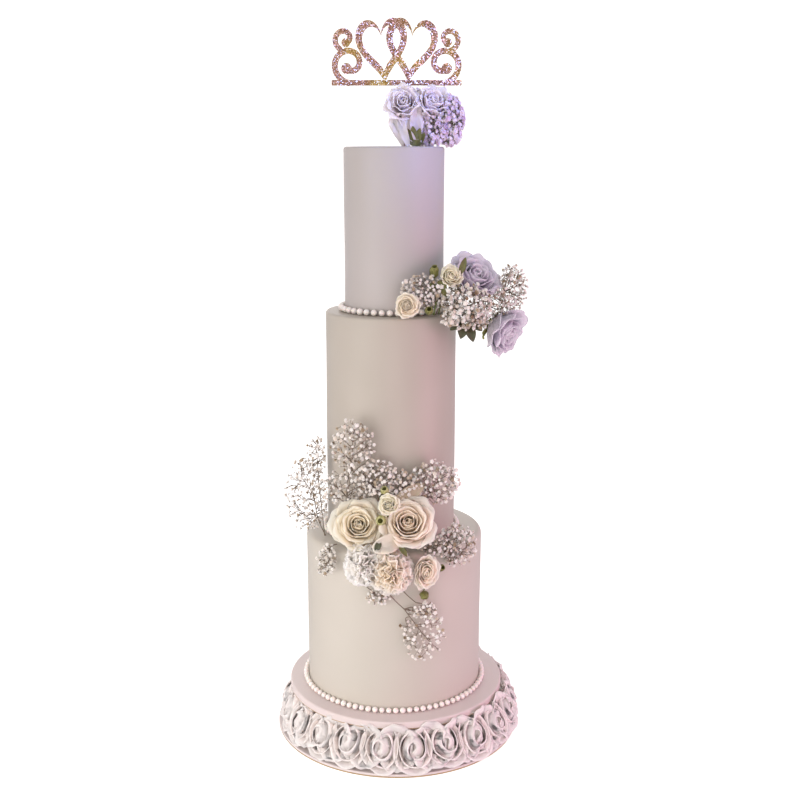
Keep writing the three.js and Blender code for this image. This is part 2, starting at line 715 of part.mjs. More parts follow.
// The cluster on the front ledge, between the middle and the bottom tier.
function buildFrontCluster() {
  const ledge = BOTTOM.top + STEM_REST;
  const onLedge = (bearing, radius) => around(bearing, radius, ledge);
  const onWall = (bearing, height) => around(bearing, BOTTOM.radius + STEM_REST, height);
  return [
    flower('front_rose_right', roseGeometry, { ...FULL_ROSE, width: 86, height: 80, depth: 46, seed: 2 },
      blushRose, { place: at(12, -128, 399), bearing: 4, tilt: 22, roll: 40, anchor: onLedge(6, 116) }),
    flower('front_rose_left', roseGeometry, { ...FULL_ROSE, width: 84, height: 78, depth: 44, seed: 1 },
      whiteRose, { place: at(-52, -122, 386), bearing: -24, tilt: 24, roll: -20, anchor: onLedge(-24, 116) }),
    flower('front_rose_small', roseGeometry, { ...SMALL_ROSE, width: 33, depth: 24, seed: 3 },
      creamRose, { place: at(-6, -164, 428), bearing: -4, tilt: 26, anchor: onLedge(-11, 120) }),
    flower('carnation_peach', carnationGeometry, { width: 70, depth: 52, seed: 5 },
      blushRose, { place: at(0, -152, 321), bearing: 0, tilt: -8, anchor: onWall(0, 316) }),
    flower('carnation_white', carnationGeometry, { width: 66, depth: 48, seed: 4 },
      whiteRose, { place: at(-42, -148, 337), bearing: -16, tilt: 0, anchor: onWall(-15.5, 330) }),
    flower('front_rose_oval', roseGeometry, { ...SMALL_ROSE, width: 38, height: 55, depth: 28, seed: 6 },
      creamRose, { place: at(49, -148, 322), bearing: 16, tilt: 2, roll: -8, anchor: onWall(18, 322) }),
    budPair('front_buds_middle', at(-13, -118, 372), [
      { place: at(-9, -146, 447), bearing: -6, tilt: 48, width: 12, length: 16 },
      { place: at(-13, -166, 408), bearing: -8, tilt: 10, width: 13, length: 14 },
    ]),
    budPair('front_buds_right', around(25, BOTTOM.radius + 2 * TWIG.stem, 305), [
      { place: at(72, -148, 324), bearing: 30, tilt: 24, width: 11, length: 12 },
      { place: at(46, -149, 280), bearing: 17, tilt: -50, width: 14, length: 13 },
    ]),
    spray('spray_upper_left', onLedge(-44, 119),
      { neck: at(-72, -114, 430), middle: at(-62, -118, 508), reach: at(32, 10, 42), florets: 12, seed: 21 }),
    spray('spray_upper_middle', onLedge(-14, 118),
      { neck: at(-24, -117, 424), middle: at(-26, -122, 462), reach: at(34, 12, 24), florets: 11, seed: 22 }),
    spray('spray_upper_right', onLedge(26, 114),
      { neck: at(46, -112, 420), middle: at(64, -112, 452), reach: at(38, 16, 30), florets: 12, seed: 23 }),
    spray('spray_lower_right', onLedge(37, 128),
      { neck: at(84, -112, 358), middle: at(104, -116, 366), reach: at(24, 24, 26), florets: 11, seed: 24 }),
    spray('spray_lower_left', onLedge(-42, 134),
      { neck: at(-100, -118, 344), middle: at(-102, -128, 326), reach: at(14, 12, 26), florets: 8, seed: 25 }),
    spray('spray_hanging', onWall(-8, 296),
      { neck: at(16, -152, 258), middle: at(48, -150, 218), reach: at(30, 8, 40), florets: 13, seed: 26 }),
    spray('spray_left_back', onLedge(-62, 124),
      { neck: at(-124, -52, 378), middle: at(-138, -50, 412), reach: at(38, 22, 66), florets: 15, seed: 27 }),
  ];
}

// Two buds on stems that start from one fork.
function budPair(name, fork, buds) {
  const parts = [new THREE.OctahedronGeometry(TWIG.stem * 1.4, 0).translate(fork.x, fork.y, fork.z)];
  for (const { width, length, ...place } of buds) {
    const bud = flower(name, budGeometry, { width, length }, budGreen, { ...place, anchor: fork });
    parts.push(bud.geometry.applyMatrix4(bud.matrix));
  }
  return piece(name, union(parts), budGreen);
}

// The cluster on the right, between the top and the middle tier.
function buildMiddleCluster() {
  const ledge = MIDDLE.top + STEM_REST;
  const onLedge = (bearing, radius) => around(bearing, radius, ledge);
  return [
    flower('middle_rose_large', roseGeometry, { ...FULL_ROSE, width: 78, depth: 46, seed: 31 },
      lilacRose, { place: at(116, -42, 744), bearing: 50, tilt: 40, roll: 10, anchor: onLedge(70, 92) }),
    flower('middle_rose_low', roseGeometry, { ...FULL_ROSE, width: 80, depth: 46, seed: 32 },
      lilacRose, { place: at(152, -42, 684), bearing: 56, tilt: -28, roll: 80, anchor: onLedge(62, 96) }),
    flower('middle_rose_cream', roseGeometry, { ...SMALL_ROSE, width: 37, depth: 26, seed: 33 },
      creamRose, { place: at(84, -66, 760), bearing: 24, tilt: 30, anchor: onLedge(48, 92) }),
    flower('middle_rose_small', roseGeometry, { ...SMALL_ROSE, width: 40, depth: 18, outerLevel: 0.7, seed: 34 },
      whiteRose, { place: at(20, -103, 721), bearing: 6, tilt: 8, anchor: onLedge(10, 94) }),
    budPair('middle_buds', at(78, -60, 740), [
      { place: at(60, -84, 772), bearing: 10, tilt: 62, width: 13, length: 19 },
      { place: at(105, -66, 778), bearing: 50, tilt: 55, width: 12, length: 20 },
    ]),
    spray('middle_spray_left', onLedge(34, 91),
      { neck: at(48, -92, 722), middle: at(42, -94, 742), reach: at(32, 12, 22), florets: 14, floret: 5, seed: 41 }),
    spray('middle_spray_centre', onLedge(45, 100),
      { neck: at(92, -92, 716), middle: at(112, -96, 722), reach: at(34, 12, 24), florets: 14, floret: 6, seed: 42 }),
    spray('middle_spray_right', onLedge(84, 96),
      { neck: at(150, -20, 722), middle: at(182, -34, 738), reach: at(26, 24, 40), florets: 14, floret: 5, seed: 43 }),
    middleFoliage(onLedge(54, 100)),
  ];
}

function middleFoliage(root) {
  const face = outward(30, 20);
  const fork = at(112, -76, 690);
  const leaves = [
    { tip: at(104, -96, 656), width: 22 },
    { tip: at(132, -88, 652), width: 20 },
    { tip: at(86, -104, 676), width: 18 },
  ];
  const parts = leaves.map(({ tip, width }) => leafGeometry(fork, tip, width, face));
  return piece('middle_foliage', union([twigGeometry(root, fork, 1.8, 1.6), ...parts]), leafGreen);
}

// The cluster on the top of the cake, right of its middle.
function buildTopCluster() {
  const lid = TOP.top + 2 * GAP;
  const roseOptions = { ...FULL_ROSE, turns: 3.5 };
  return [
    flower('top_rose_left', roseGeometry, { ...roseOptions, width: 58, depth: 38, seed: 51 },
      whiteRose, { place: at(14, -20, 1004), bearing: -10, tilt: 24, roll: 20, anchor: at(20, -16, lid) }),
    flower('top_rose_right', roseGeometry, { ...roseOptions, width: 54, depth: 36, seed: 52 },
      whiteRose, { place: at(48, -16, 1005), bearing: 26, tilt: 30, roll: -30, anchor: at(40, -14, lid) }),
    heap('top_spray', at(81, -20, lid + 38), at(27, 28, 41), 53),
    droopingPetals(at(16, -26, 996)),
  ];
}

// Long outer petals that hang from behind the left rose to the top of the cake.
function droopingPetals(start) {
  const thickness = 2;
  const tips = [
    { tip: at(-2, -34, TOP.top + 8), width: 18 },
    { tip: at(8, -46, TOP.top + 4), width: 20 },
    { tip: at(22, -48, TOP.top + 5), width: 20 },
    { tip: at(34, -40, TOP.top + 4), width: 18 },
  ];
  const parts = tips.map(({ tip, width }) => leafGeometry(start, tip, width, outward(0, 10), thickness));
  return piece('top_petals', union(parts), whiteRose);
}

// A dense heap of florets, as an egg whose surface rises and falls by a floret.
function heap(name, middle, reach, seed) {
  const random = numbersFrom(seed);
  const ball = new THREE.IcosahedronGeometry(1, 2).deleteAttribute('normal').deleteAttribute('uv');
  const merged = mergeVertices(ball, 1e-3);
  const { position } = merged.attributes;
  for (let i = 0; i < position.count; i++) {
    const spot = new THREE.Vector3().fromBufferAttribute(position, i).multiply(reach);
    spot.multiplyScalar(mix(0.86, 1.08, random()));
    position.setXYZ(i, spot.x, spot.y, spot.z);
  }
  merged.computeVertexNormals();
  return piece(name, merged, gypsophila, middle);
}

// ---------------------------------------------------------------- assembly

const cake = new THREE.Group();

const stand = buildStand();
const stack = new THREE.Group();
stack.position.x = STACK_X;
cake.add(stand, stack);
const board = drumGeometry(BOARD.radius, BOARD.thickness, BOARD.edge, 2);
stack.add(piece('cake_board', board, paint(COLOUR.board, 0.5), new THREE.Vector3(BOARD_X, 0, BOARD_BASE)));
stack.add(tierPiece('tier_bottom', BOTTOM, COLOUR.bottomIcing));
stack.add(tierPiece('tier_middle', MIDDLE, COLOUR.icing));
stack.add(tierPiece('tier_top', TOP, COLOUR.icing));
stack.add(borderPiece('border_bottom', BOTTOM));
stack.add(borderPiece('border_middle', MIDDLE));
stack.add(borderPiece('border_top', TOP));
stack.add(buildTopper());

// Adds pieces to a group one after another, each cut clear of all that is there before it.
function addFitted(group, pieces) {
  for (const mesh of pieces) {
    const earlier = [...stand.children, ...stack.children];
    group.add(mesh);
    cake.updateMatrixWorld(true);
    fitBeside(mesh, earlier);
  }
}

addFitted(stand, buildRoseRing());
addFitted(stack, [...buildTopCluster(), ...buildMiddleCluster(), ...buildFrontCluster()]);

export default cake;
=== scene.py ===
import math

import bpy
import numpy as np
from mathutils import Matrix, Vector


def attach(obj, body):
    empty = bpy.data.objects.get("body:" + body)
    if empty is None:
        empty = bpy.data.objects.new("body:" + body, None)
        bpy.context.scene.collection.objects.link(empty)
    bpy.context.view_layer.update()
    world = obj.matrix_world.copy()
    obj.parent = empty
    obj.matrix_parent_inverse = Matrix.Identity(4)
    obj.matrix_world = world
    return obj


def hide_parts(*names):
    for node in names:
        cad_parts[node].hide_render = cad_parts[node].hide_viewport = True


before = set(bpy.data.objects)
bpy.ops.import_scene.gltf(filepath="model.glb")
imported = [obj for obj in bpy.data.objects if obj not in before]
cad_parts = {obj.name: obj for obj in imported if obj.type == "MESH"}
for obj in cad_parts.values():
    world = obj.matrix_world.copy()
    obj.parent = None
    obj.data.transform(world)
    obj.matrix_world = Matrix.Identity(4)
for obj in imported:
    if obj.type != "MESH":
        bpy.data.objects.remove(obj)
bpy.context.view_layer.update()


# ---------------------------------------------------------------- stand: the foot
# The foot is a flat round board of painted wood that carries everything else. Its top is white and mostly
# under the roses. A band of dull gold paint runs round its edge.

MM = 0.001
ROUND_STEPS = 256
OUTER_SHARE = 0.98
FOOT = {"radius": 201, "thickness": 6, "round": 1.2, "band": (0.0, 2.8), "inner_ring": 120}
WHITE_PAINT = ("#e3d9d6", "#d5c8c6")
GOLD_PAINT = ("#cdb083", "#a3835c")


def linear(code):
    """The linear colour of an sRGB hex value."""
    channels = [int(code[i:i + 2], 16) / 255 for i in (1, 3, 5)]
    return (*[c / 12.92 if c <= 0.04045 else ((c + 0.055) / 1.055) ** 2.4 for c in channels], 1.0)


def connect(tree, node, inputs):
    """Gives each input a value, or a link from a socket or from the first output of a node."""
    for key, value in inputs.items():
        if isinstance(value, bpy.types.Node):
            value = value.outputs[0]
        if isinstance(value, bpy.types.NodeSocket):
            tree.links.new(value, node.inputs[key])
        else:
            node.inputs[key].default_value = value


def add_node(tree, kind, settings, inputs):
    """Adds a node with its settings, and with the values and links of its inputs."""
    node = tree.nodes.new(kind)
    for name, value in settings.items():
        setattr(node, name, value)
    connect(tree, node, inputs)
    return node


def new_material(name, roughness, metallic=0.0):
    """A material, its tree and its shader, and the object coordinates that its patterns lie on."""
    material = bpy.data.materials.new(name)
    material.use_nodes = True
    tree = material.node_tree
    shader = tree.nodes["Principled BSDF"]
    connect(tree, shader, {"Roughness": roughness, "Metallic": metallic})
    where = add_node(tree, "ShaderNodeTexCoord", {}, {}).outputs["Object"]
    return material, tree, shader, where


def brushed_paint(name, colours, roughness, metallic, stroke):
    """Paint put on with a brush: faint strokes of one width in millimetres, in its colour and its surface."""
    material, tree, shader, where = new_material(name, roughness, metallic)
    strokes = add_node(tree, "ShaderNodeTexNoise", {}, {
        "Vector": where, "Scale": 1 / (stroke * MM), "Detail": 3.0})
    tone = add_node(tree, "ShaderNodeMix", {"data_type": "RGBA"}, {
        0: strokes, 6: linear(colours[0]), 7: linear(colours[1])})
    relief = add_node(tree, "ShaderNodeBump", {}, {"Height": strokes, "Strength": 0.25, "Distance": 0.3 * MM})
    connect(tree, shader, {"Base Color": tone.outputs[2], "Normal": relief})
    return material


def new_piece(name, points, faces, materials, face_materials=None, sharp=35):
    """An object at the origin whose mesh holds its place. Edges bent by over `sharp` degrees stay crisp."""
    mesh = bpy.data.meshes.new(name)
    mesh.from_pydata([tuple(point) for point in np.asarray(points, dtype=float)], [], faces)
    for material in materials:
        mesh.materials.append(material)
    if face_materials is not None:
        mesh.polygons.foreach_set("material_index", face_materials)
    mesh.shade_smooth()
    mesh.set_sharp_from_angle(angle=math.radians(sharp))
    piece = bpy.data.objects.new(name, mesh)
    bpy.context.collection.objects.link(piece)
    return piece


def turned(name, profile, materials, band=None, x=0.0, waver=None):
    """A closed round solid from a profile of (radius, height) in millimetres, from the axis back to the axis.

    The second material goes on the outermost faces that lie between the two heights of the band.
    """
    steps = ROUND_STEPS
    angles = np.linspace(0, 2 * math.pi, steps, endpoint=False)
    rings = np.array(profile[1:-1], dtype=float)
    radii = rings[:, :1] + (waver(angles[None, :], rings[:, 1:]) if waver else 0.0)
    heights = np.repeat(rings[:, 1:], steps, axis=1)
    points = np.stack([x + radii * np.cos(angles), radii * np.sin(angles), heights], axis=-1).reshape(-1, 3)
    ends = [[x, 0, profile[0][1]], [x, 0, profile[-1][1]]]
    points = np.concatenate([points, ends]) * MM
    count = len(rings)
    middles = (rings[1:] + rings[:-1]) / 2
    outer = rings[:, 0].max() * OUTER_SHARE
    banded = [bool(band) and radius > outer and band[0] < height < band[1] for radius, height in middles]
    kinds = [0, *[int(flag) for flag in banded], 0] * steps
    faces = []
    for j in range(steps):
        k = (j + 1) % steps
        faces.append((count * steps, k, j))
        for ring in range(count - 1):
            low, high = ring * steps, (ring + 1) * steps
            faces.append((low + j, low + k, high + k, high + j))
        faces.append((count * steps + 1, (count - 1) * steps + j, (count - 1) * steps + k))
    return new_piece(name, points, faces, materials, kinds)


def rounded(radius, height, size, upper, steps=6):
    """Points that round the upper or lower corner at (radius, height) of a profile drawn from its base up."""
    arc = [math.radians(90 * i / steps) for i in range(steps + 1)]
    if upper:
        return [(radius - size * (1 - math.cos(a)), height - size * (1 - math.sin(a))) for a in arc]
    return [(radius - size * (1 - math.sin(a)), height + size * (1 - math.cos(a))) for a in arc]


white_paint = brushed_paint("satin_white_paint", WHITE_PAINT, 0.45, 0.0, 14)
gold_paint = brushed_paint("dull_gold_paint", GOLD_PAINT, 0.42, 0.5, 5)
foot_profile = [
    (0, 0), (FOOT["inner_ring"], 0),
    *rounded(FOOT["radius"], 0, FOOT["round"], False), (FOOT["radius"], FOOT["band"][1]),
    *rounded(FOOT["radius"], FOOT["thickness"], FOOT["round"], True),
    (FOOT["inner_ring"], FOOT["thickness"]), (0, FOOT["thickness"])]
foot = turned("foot_board", foot_profile, [white_paint, gold_paint], FOOT["band"])
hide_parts("stand_foot")
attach(foot, "root")


# ---------------------------------------------------------------- stand: the drum and its top plate
# A wooden drum painted white lifts the cake off the foot and holds the roses. Its top plate is a little wider
# than the drum, with a thin gold line round its upper edge.

DRUM = {
    "radius": 150, "base": 6.3, "height": 63, "plate_radius": 172, "plate": 5, "round": 0.8,
    "inner_ring": 100, "line": (0.9, 0.3)}

drum_top = DRUM["base"] + DRUM["height"]
shelf = drum_top - DRUM["plate"]
drum_profile = [
    (0, DRUM["base"]), (DRUM["inner_ring"], DRUM["base"]), (DRUM["radius"], DRUM["base"]),
    (DRUM["radius"], shelf),
    *rounded(DRUM["plate_radius"], shelf, DRUM["round"], False),
    *rounded(DRUM["plate_radius"], drum_top, DRUM["round"], True),
    (DRUM["inner_ring"], drum_top), (0, drum_top)]
gold_line = [drum_top - below for below in DRUM["line"]]
drum = turned("drum_with_plate", drum_profile, [white_paint, gold_paint], gold_line)
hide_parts("stand_drum")
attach(drum, "root")


# ---------------------------------------------------------------- stand: the cloth roses
# Roses of stiffened white cloth are set side by side round the drum, so close that their outer petals
# overlap. Each is a closed bud with wide petals wrapped round it in a spiral. Flatter petals fill the gaps
# behind them.

ROSE_COUNT = 22
BLOTCH = 16.6667
CLOTH = {"x": 4, "thickness": 0.7, "patterns": 3}
GOLDEN_ANGLE = math.radians(137.5)
TURN_VARIES = 0.15
# What all petals of this kind share. Their lean from the axis in the heart is given at the foot, higher up
# and at the rim, in degrees. Widths are shares of the petal's own half width.
PETAL = {
    "across": 13, "along": 9, "line": 41, "heart_lean": (14, -22, -4), "foot": 0.05, "least_bend": 0.09,
    "most_turn": 2.3, "overlap": 0.06, "foot_width": 0.3, "widest": 0.6, "rim_narrows": 0.22,
    "length_varies": 0.05, "width_varies": 0.08}
# A kind of flower: outside, a petal leans from the axis by `base` degrees at its foot and `mid` higher up,
# and curls by `roll` at the rim. Lengths and half widths are shares of the rose's half width, in the heart
# and outside.
CLOTH_BACK = {
    "petals": 6, "lengths": (1.3, 1.3), "halves": (1.1, 1.1), "rounding": 0.12, "base": 78, "mid": 62,
    "roll": 30, "wave": 0.03, "edge": 0.03, "spread": 0}
# A wrapped petal rises on a curve through a foot, a belly and a rim, as pairs of heart and outermost petal.
# Angles are in degrees; radii and heights are shares of the rose's half width.
WRAPPED = {
    "petals": 8, "across": 19, "along": 9, "half": (130, 100), "rounding": 0.1, "foot": (0.2, 0.3),
    "belly": (0.74, 0.76), "rim": (0.06, 0.87), "belly_up": (0.5, 0.32), "rim_up": (0.93, 0.62), "lip": 0.1,
    "drop": 0.06, "spiral": 0.034, "wave": 0.025, "oval": (0.06, 0.035),
    "half_varies": 0.06, "rim_varies": 0.02}


def mix(a, b, share):
    return a + (b - a) * share


def eased(low, high, value):
    """0 below `low`, 1 above `high`, and a smooth rise between."""
    share = np.clip((value - low) / (high - low), 0, 1)
    return share * share * (3 - 2 * share)


def sheet_of(points, side, rise, age):
    """One petal or leaf: its points in rows, the faces between them, and the marks that its material reads.

    They say how far each point lies across the sheet, from its foot to its rim, and from the heart outwards.
    """
    across, along = side.size, rise.size
    full = np.ones((along, across))
    faces = []
    for i in range(along - 1):
        for j in range(across - 1):
            corner = i * across + j
            faces.append((corner, corner + 1, corner + across + 1, corner + across))
    marks = {
        "rim": (rise.reshape(-1, 1) * full).ravel(),
        "side": (side.reshape(1, -1) * full).ravel(),
        "age": np.full(full.size, age)}
    return points.reshape(-1, 3), faces, marks


def petal_sheet(kind, age, spin, rng):
    """One petal of a kind of flower: age is 0 in the heart and 1 outside, spin its angle round the axis."""
    side = np.linspace(-1, 1, PETAL["across"])[None, :]
    rise = np.linspace(0, 1, PETAL["along"])[:, None]
    length = mix(*kind["lengths"], age) * rng.uniform(1 - PETAL["length_varies"], 1 + PETAL["length_varies"])
    width_varies = PETAL["width_varies"]
    half = mix(*kind["halves"], age ** 0.7) * rng.uniform(1 - width_varies, 1 + width_varies)
    steps = np.linspace(0, 1, PETAL["line"])
    heart_base, heart_mid, heart_roll = PETAL["heart_lean"]
    base = mix(heart_base, kind["base"], age ** 0.8)
    mid = mix(heart_mid, kind["mid"], age)
    roll = mix(heart_roll, kind["roll"], age)
    lean = np.radians(mix(base, mid, eased(0, 0.75, steps)) + roll * eased(0.7, 1, steps))
    pace = length / (len(steps) - 1)
    out_line = np.concatenate([[0], np.cumsum(np.sin(lean[1:]) + np.sin(lean[:-1])) / 2 * pace])
    out_line += PETAL["foot"]
    up_line = np.concatenate([[0], np.cumsum(np.cos(lean[1:]) + np.cos(lean[:-1])) / 2 * pace])
    reach = rise * (1 - kind["rounding"] * np.abs(side) ** 2.4)
    out, up = np.interp(reach, steps, out_line), np.interp(reach, steps, up_line)
    widening = np.sin(math.pi / 2 * np.minimum(1, rise / PETAL["widest"]))
    wide = half * mix(PETAL["foot_width"], 1, widening) * (1 - PETAL["rim_narrows"] * eased(0.72, 1, rise))
    bend = np.maximum(out, PETAL["least_bend"]) * mix(1, 1.25, age * eased(0.5, 1, rise))
    turn = np.clip(side * wide / bend, -PETAL["most_turn"], PETAL["most_turn"])
    phase = rng.uniform(0, 2 * math.pi)
    wave = kind["wave"] * mix(0.3, 1, age) * rise ** 2
    out = out + wave * np.sin(2.6 * math.pi * side + phase)
    out = out + PETAL["overlap"] * side * rise * mix(0.5, 1, age)
    up = up + wave * np.cos(2 * math.pi * side + phase) - kind["edge"] * age * np.abs(side) ** 3 * rise
    x = out - bend + bend * np.cos(turn)
    y = bend * np.sin(turn)
    spun_x = x * math.cos(spin) - y * math.sin(spin)
    spun_y = x * math.sin(spin) + y * math.cos(spin)
    return sheet_of(np.stack([spun_x, spun_y, up], axis=-1), side, rise, age)


def rose_sheets(kind, rng):
    """All petals of a rose, from the heart outwards."""
    sheets = []
    for i in range(kind["petals"]):
        age = (i / (kind["petals"] - 1)) ** kind["spread"]
        spin = i * GOLDEN_ANGLE + rng.uniform(-TURN_VARIES, TURN_VARIES)
        sheets.append(petal_sheet(kind, age, spin, rng))
    return sheets


def backing_sheets(rng):
    """The flatter petals behind the gap between two cloth roses."""
    return rose_sheets(CLOTH_BACK, rng)


def wrapped_petal(number, oval_turns, rng):
    """One cloth petal bent round the axis: its left end lies inside the next petal, its right end outside."""
    shape = WRAPPED
    age = number / (shape["petals"] - 1)
    side = np.linspace(-1, 1, shape["across"])[None, :]
    rise = np.linspace(0, 1, shape["along"])[:, None]
    half_varies = shape["half_varies"]
    half = math.radians(mix(*shape["half"], age)) * rng.uniform(1 - half_varies, 1 + half_varies)
    angle = number * GOLDEN_ANGLE + rng.uniform(-TURN_VARIES, TURN_VARIES) + side * half
    reach = rise * (1 - shape["rounding"] * np.abs(side) ** 3)
    foot, belly = mix(*shape["foot"], age), mix(*shape["belly"], age)
    rim, belly_up = mix(*shape["rim"], age ** 0.85), mix(*shape["belly_up"], age)
    rim_up = mix(*shape["rim_up"], age) + rng.uniform(-shape["rim_varies"], shape["rim_varies"])
    lip = eased(0.72, 1, reach) * age ** 0.6
    away = (1 - reach) ** 2 * foot + 2 * reach * (1 - reach) * belly + reach ** 2 * rim + shape["lip"] * lip
    away = away + shape["spiral"] * side * half * reach
    for lobes, depth, turn in zip((2, 3), shape["oval"], oval_turns):
        away = away * (1 + depth * np.sin(lobes * angle + turn))
    up = 2 * reach * (1 - reach) * belly_up + reach ** 2 * rim_up - shape["drop"] * lip ** 2
    ripple = np.sin(2 * math.pi * side + rng.uniform(0, 2 * math.pi))
    up = up + shape["wave"] * mix(0.4, 1, age) * reach ** 2 * ripple
    return sheet_of(np.stack([away * np.cos(angle), away * np.sin(angle), up], axis=-1), side, rise, age)


def wrapped_sheets(rng):
    """All petals of a cloth rose, which is a little oval."""
    oval_turns = rng.uniform(0, 2 * math.pi, 2)
    return [wrapped_petal(number, oval_turns, rng) for number in range(WRAPPED["petals"])]


def fitted(points, size):
    """Points scaled so that they fill a width, a height and a depth in millimetres, with the back at 0."""
    low, high = points.min(0), points.max(0)
    points = points - [(low[0] + high[0]) / 2, (low[1] + high[1]) / 2, low[2]]
    return points * (np.array(size) / (high - low))


def baked(piece):
    """Turns what an object's modifiers make into its own plain mesh."""
    graph = bpy.context.evaluated_depsgraph_get()
    evaluated = piece.evaluated_get(graph)
    mesh = bpy.data.meshes.new_from_object(evaluated, preserve_all_data_layers=True, depsgraph=graph)
    piece.modifiers.clear()
    piece.data = mesh
    return piece


def sheet_piece(name, sheets, size, place, material, thickness):
    """Sheets joined into one flower head of a size, given a thickness and set in its place."""
    points = fitted(np.concatenate([sheet[0] for sheet in sheets]), size)
    faces, first = [], 0
    for sheet_points, sheet_faces, _ in sheets:
        faces += [tuple(corner + first for corner in face) for face in sheet_faces]
        first += len(sheet_points)
    piece = new_piece(name, points * MM, faces, [material])
    for mark in sheets[0][2]:
        values = np.concatenate([sheet[2][mark] for sheet in sheets]).astype(np.float32)
        piece.data.attributes.new(mark, "FLOAT", "POINT").data.foreach_set("value", values)
    solid = piece.modifiers.new("thickness", "SOLIDIFY")
    solid.thickness = thickness * MM
    solid.offset = 0
    baked(piece)
    piece.data.transform(place)
    return piece


def petal_material(name, heart, outer, foot, roughness, veins, glow):
    """Petals: one colour in the heart, one outside, a third at each petal's foot, and veins up to its rim.
    The foot colour is partly the petal's own base and partly painted shade of the flower's deep middle.

    They are matt with a faint bloom, and light spreads inside them by the glow, so their rims look soft.
    """
    material, tree, shader, where = new_material(name, roughness)
    mark = {}
    for label in ("age", "rim", "side"):
        mark[label] = add_node(tree, "ShaderNodeAttribute", {"attribute_name": label}, {}).outputs["Fac"]
    sheet = add_node(tree, "ShaderNodeCombineXYZ", {}, {
        "X": mark["side"], "Y": mark["rim"], "Z": mark["age"]})
    stretched = add_node(tree, "ShaderNodeVectorMath", {"operation": "MULTIPLY"}, {
        0: sheet, 1: (veins, 1.4, 40.0)})
    vein = add_node(tree, "ShaderNodeTexNoise", {}, {"Vector": stretched, "Scale": 1.0, "Detail": 2.0})
    blotches = add_node(tree, "ShaderNodeTexNoise", {}, {
        "Vector": where, "Scale": 1 / (BLOTCH * MM), "Detail": 2.0})
    rise = add_node(tree, "ShaderNodeMath", {"operation": "POWER"}, {0: mark["rim"], 1: 0.6})
    whole = add_node(tree, "ShaderNodeMix", {"data_type": "RGBA"}, {
        0: mark["age"], 6: linear(heart), 7: linear(outer)})
    # Towards each petal's foot the colour turns to the foot colour, partly the petal's own base and partly
    # painted shade of the flower's deep middle.
    foot_tinted_and_shaded = add_node(tree, "ShaderNodeMix", {"data_type": "RGBA"}, {
        0: rise, 6: linear(foot), 7: whole.outputs[2]})
    soft = add_node(tree, "ShaderNodeMath", {"operation": "MULTIPLY"}, {0: blotches, 1: 0.35})
    blotched = add_node(tree, "ShaderNodeMix", {"data_type": "RGBA"}, {
        0: soft, 6: foot_tinted_and_shaded.outputs[2], 7: linear(foot)})
    relief = add_node(tree, "ShaderNodeBump", {}, {"Height": vein, "Strength": 0.5, "Distance": 0.4 * MM})
    connect(tree, shader, {
        "Base Color": blotched.outputs[2], "Normal": relief, "Sheen Weight": 0.15, "Subsurface Weight": glow,
        "Subsurface Scale": 3 * MM, "Subsurface Radius": (1.0, 1.0, 1.0)})
    return material


def new_tree(name, inputs):
    """A geometry node tree with named inputs: the tree, the sockets of those inputs, and its output node."""
    tree = bpy.data.node_groups.new(name, "GeometryNodeTree")
    for way in ("INPUT", "OUTPUT"):
        tree.interface.new_socket("Geometry", in_out=way, socket_type="NodeSocketGeometry")
    for label, kind in inputs.items():
        tree.interface.new_socket(label, in_out="INPUT", socket_type="NodeSocket" + kind)
    return tree, tree.nodes.new("NodeGroupInput").outputs, tree.nodes.new("NodeGroupOutput")


def grown_from(name, tree, values, mesh=None):
    """An object whose mesh a geometry node tree makes from named values."""
    piece = bpy.data.objects.new(name, mesh or bpy.data.meshes.new(name))
    bpy.context.collection.objects.link(piece)
    maker = piece.modifiers.new(tree.name, "NODES")
    maker.node_group = tree
    for item in tree.interface.items_tree:
        if item.in_out == "INPUT" and item.name in values:
            maker[item.identifier] = values[item.name]
    return baked(piece)


# The tree sets copies of three roses round a ring, each turned to face outwards and up, with a small random
# roll and size.
ring_tree, ring_value, ring_out = new_tree("rose_ring", {
    "Count": "Int", "Radius": "Float", "Level": "Float", "Centre X": "Float", "First turn": "Float",
    "Least tilt": "Float", "Most tilt": "Float", "Roll": "Float", "Least size": "Float", "Rose 1": "Object",
    "Rose 2": "Object", "Rose 3": "Object", "Material": "Material", "Seed": "Int"})
circle = add_node(ring_tree, "GeometryNodeMeshCircle", {}, {
    "Vertices": ring_value["Count"], "Radius": ring_value["Radius"]})
first_turn = add_node(ring_tree, "ShaderNodeCombineXYZ", {}, {"Z": ring_value["First turn"]})
turned_ring = add_node(ring_tree, "GeometryNodeTransform", {}, {"Geometry": circle, "Rotation": first_turn})
spot = add_node(ring_tree, "GeometryNodeInputPosition", {}, {})
outward = add_node(ring_tree, "ShaderNodeVectorMath", {"operation": "NORMALIZE"}, {0: spot})
tilt = add_node(ring_tree, "FunctionNodeRandomValue", {"data_type": "FLOAT"}, {
    2: ring_value["Least tilt"], 3: ring_value["Most tilt"], "Seed": ring_value["Seed"]})
tilt_tangent = add_node(ring_tree, "ShaderNodeMath", {"operation": "TANGENT"}, {0: tilt.outputs[1]})
upward = add_node(ring_tree, "ShaderNodeCombineXYZ", {}, {"Z": tilt_tangent})
facing = add_node(ring_tree, "ShaderNodeVectorMath", {"operation": "ADD"}, {0: outward, 1: upward})
faced = add_node(ring_tree, "FunctionNodeAlignRotationToVector", {"axis": "Z"}, {"Vector": facing})
upright = add_node(ring_tree, "FunctionNodeAlignRotationToVector", {"axis": "Y", "pivot_axis": "Z"}, {
    "Rotation": faced, "Vector": (0.0, 0.0, 1.0)})
less_roll = add_node(ring_tree, "ShaderNodeMath", {"operation": "MULTIPLY"}, {0: ring_value["Roll"], 1: -1.0})
which = add_node(ring_tree, "GeometryNodeInputIndex", {}, {})
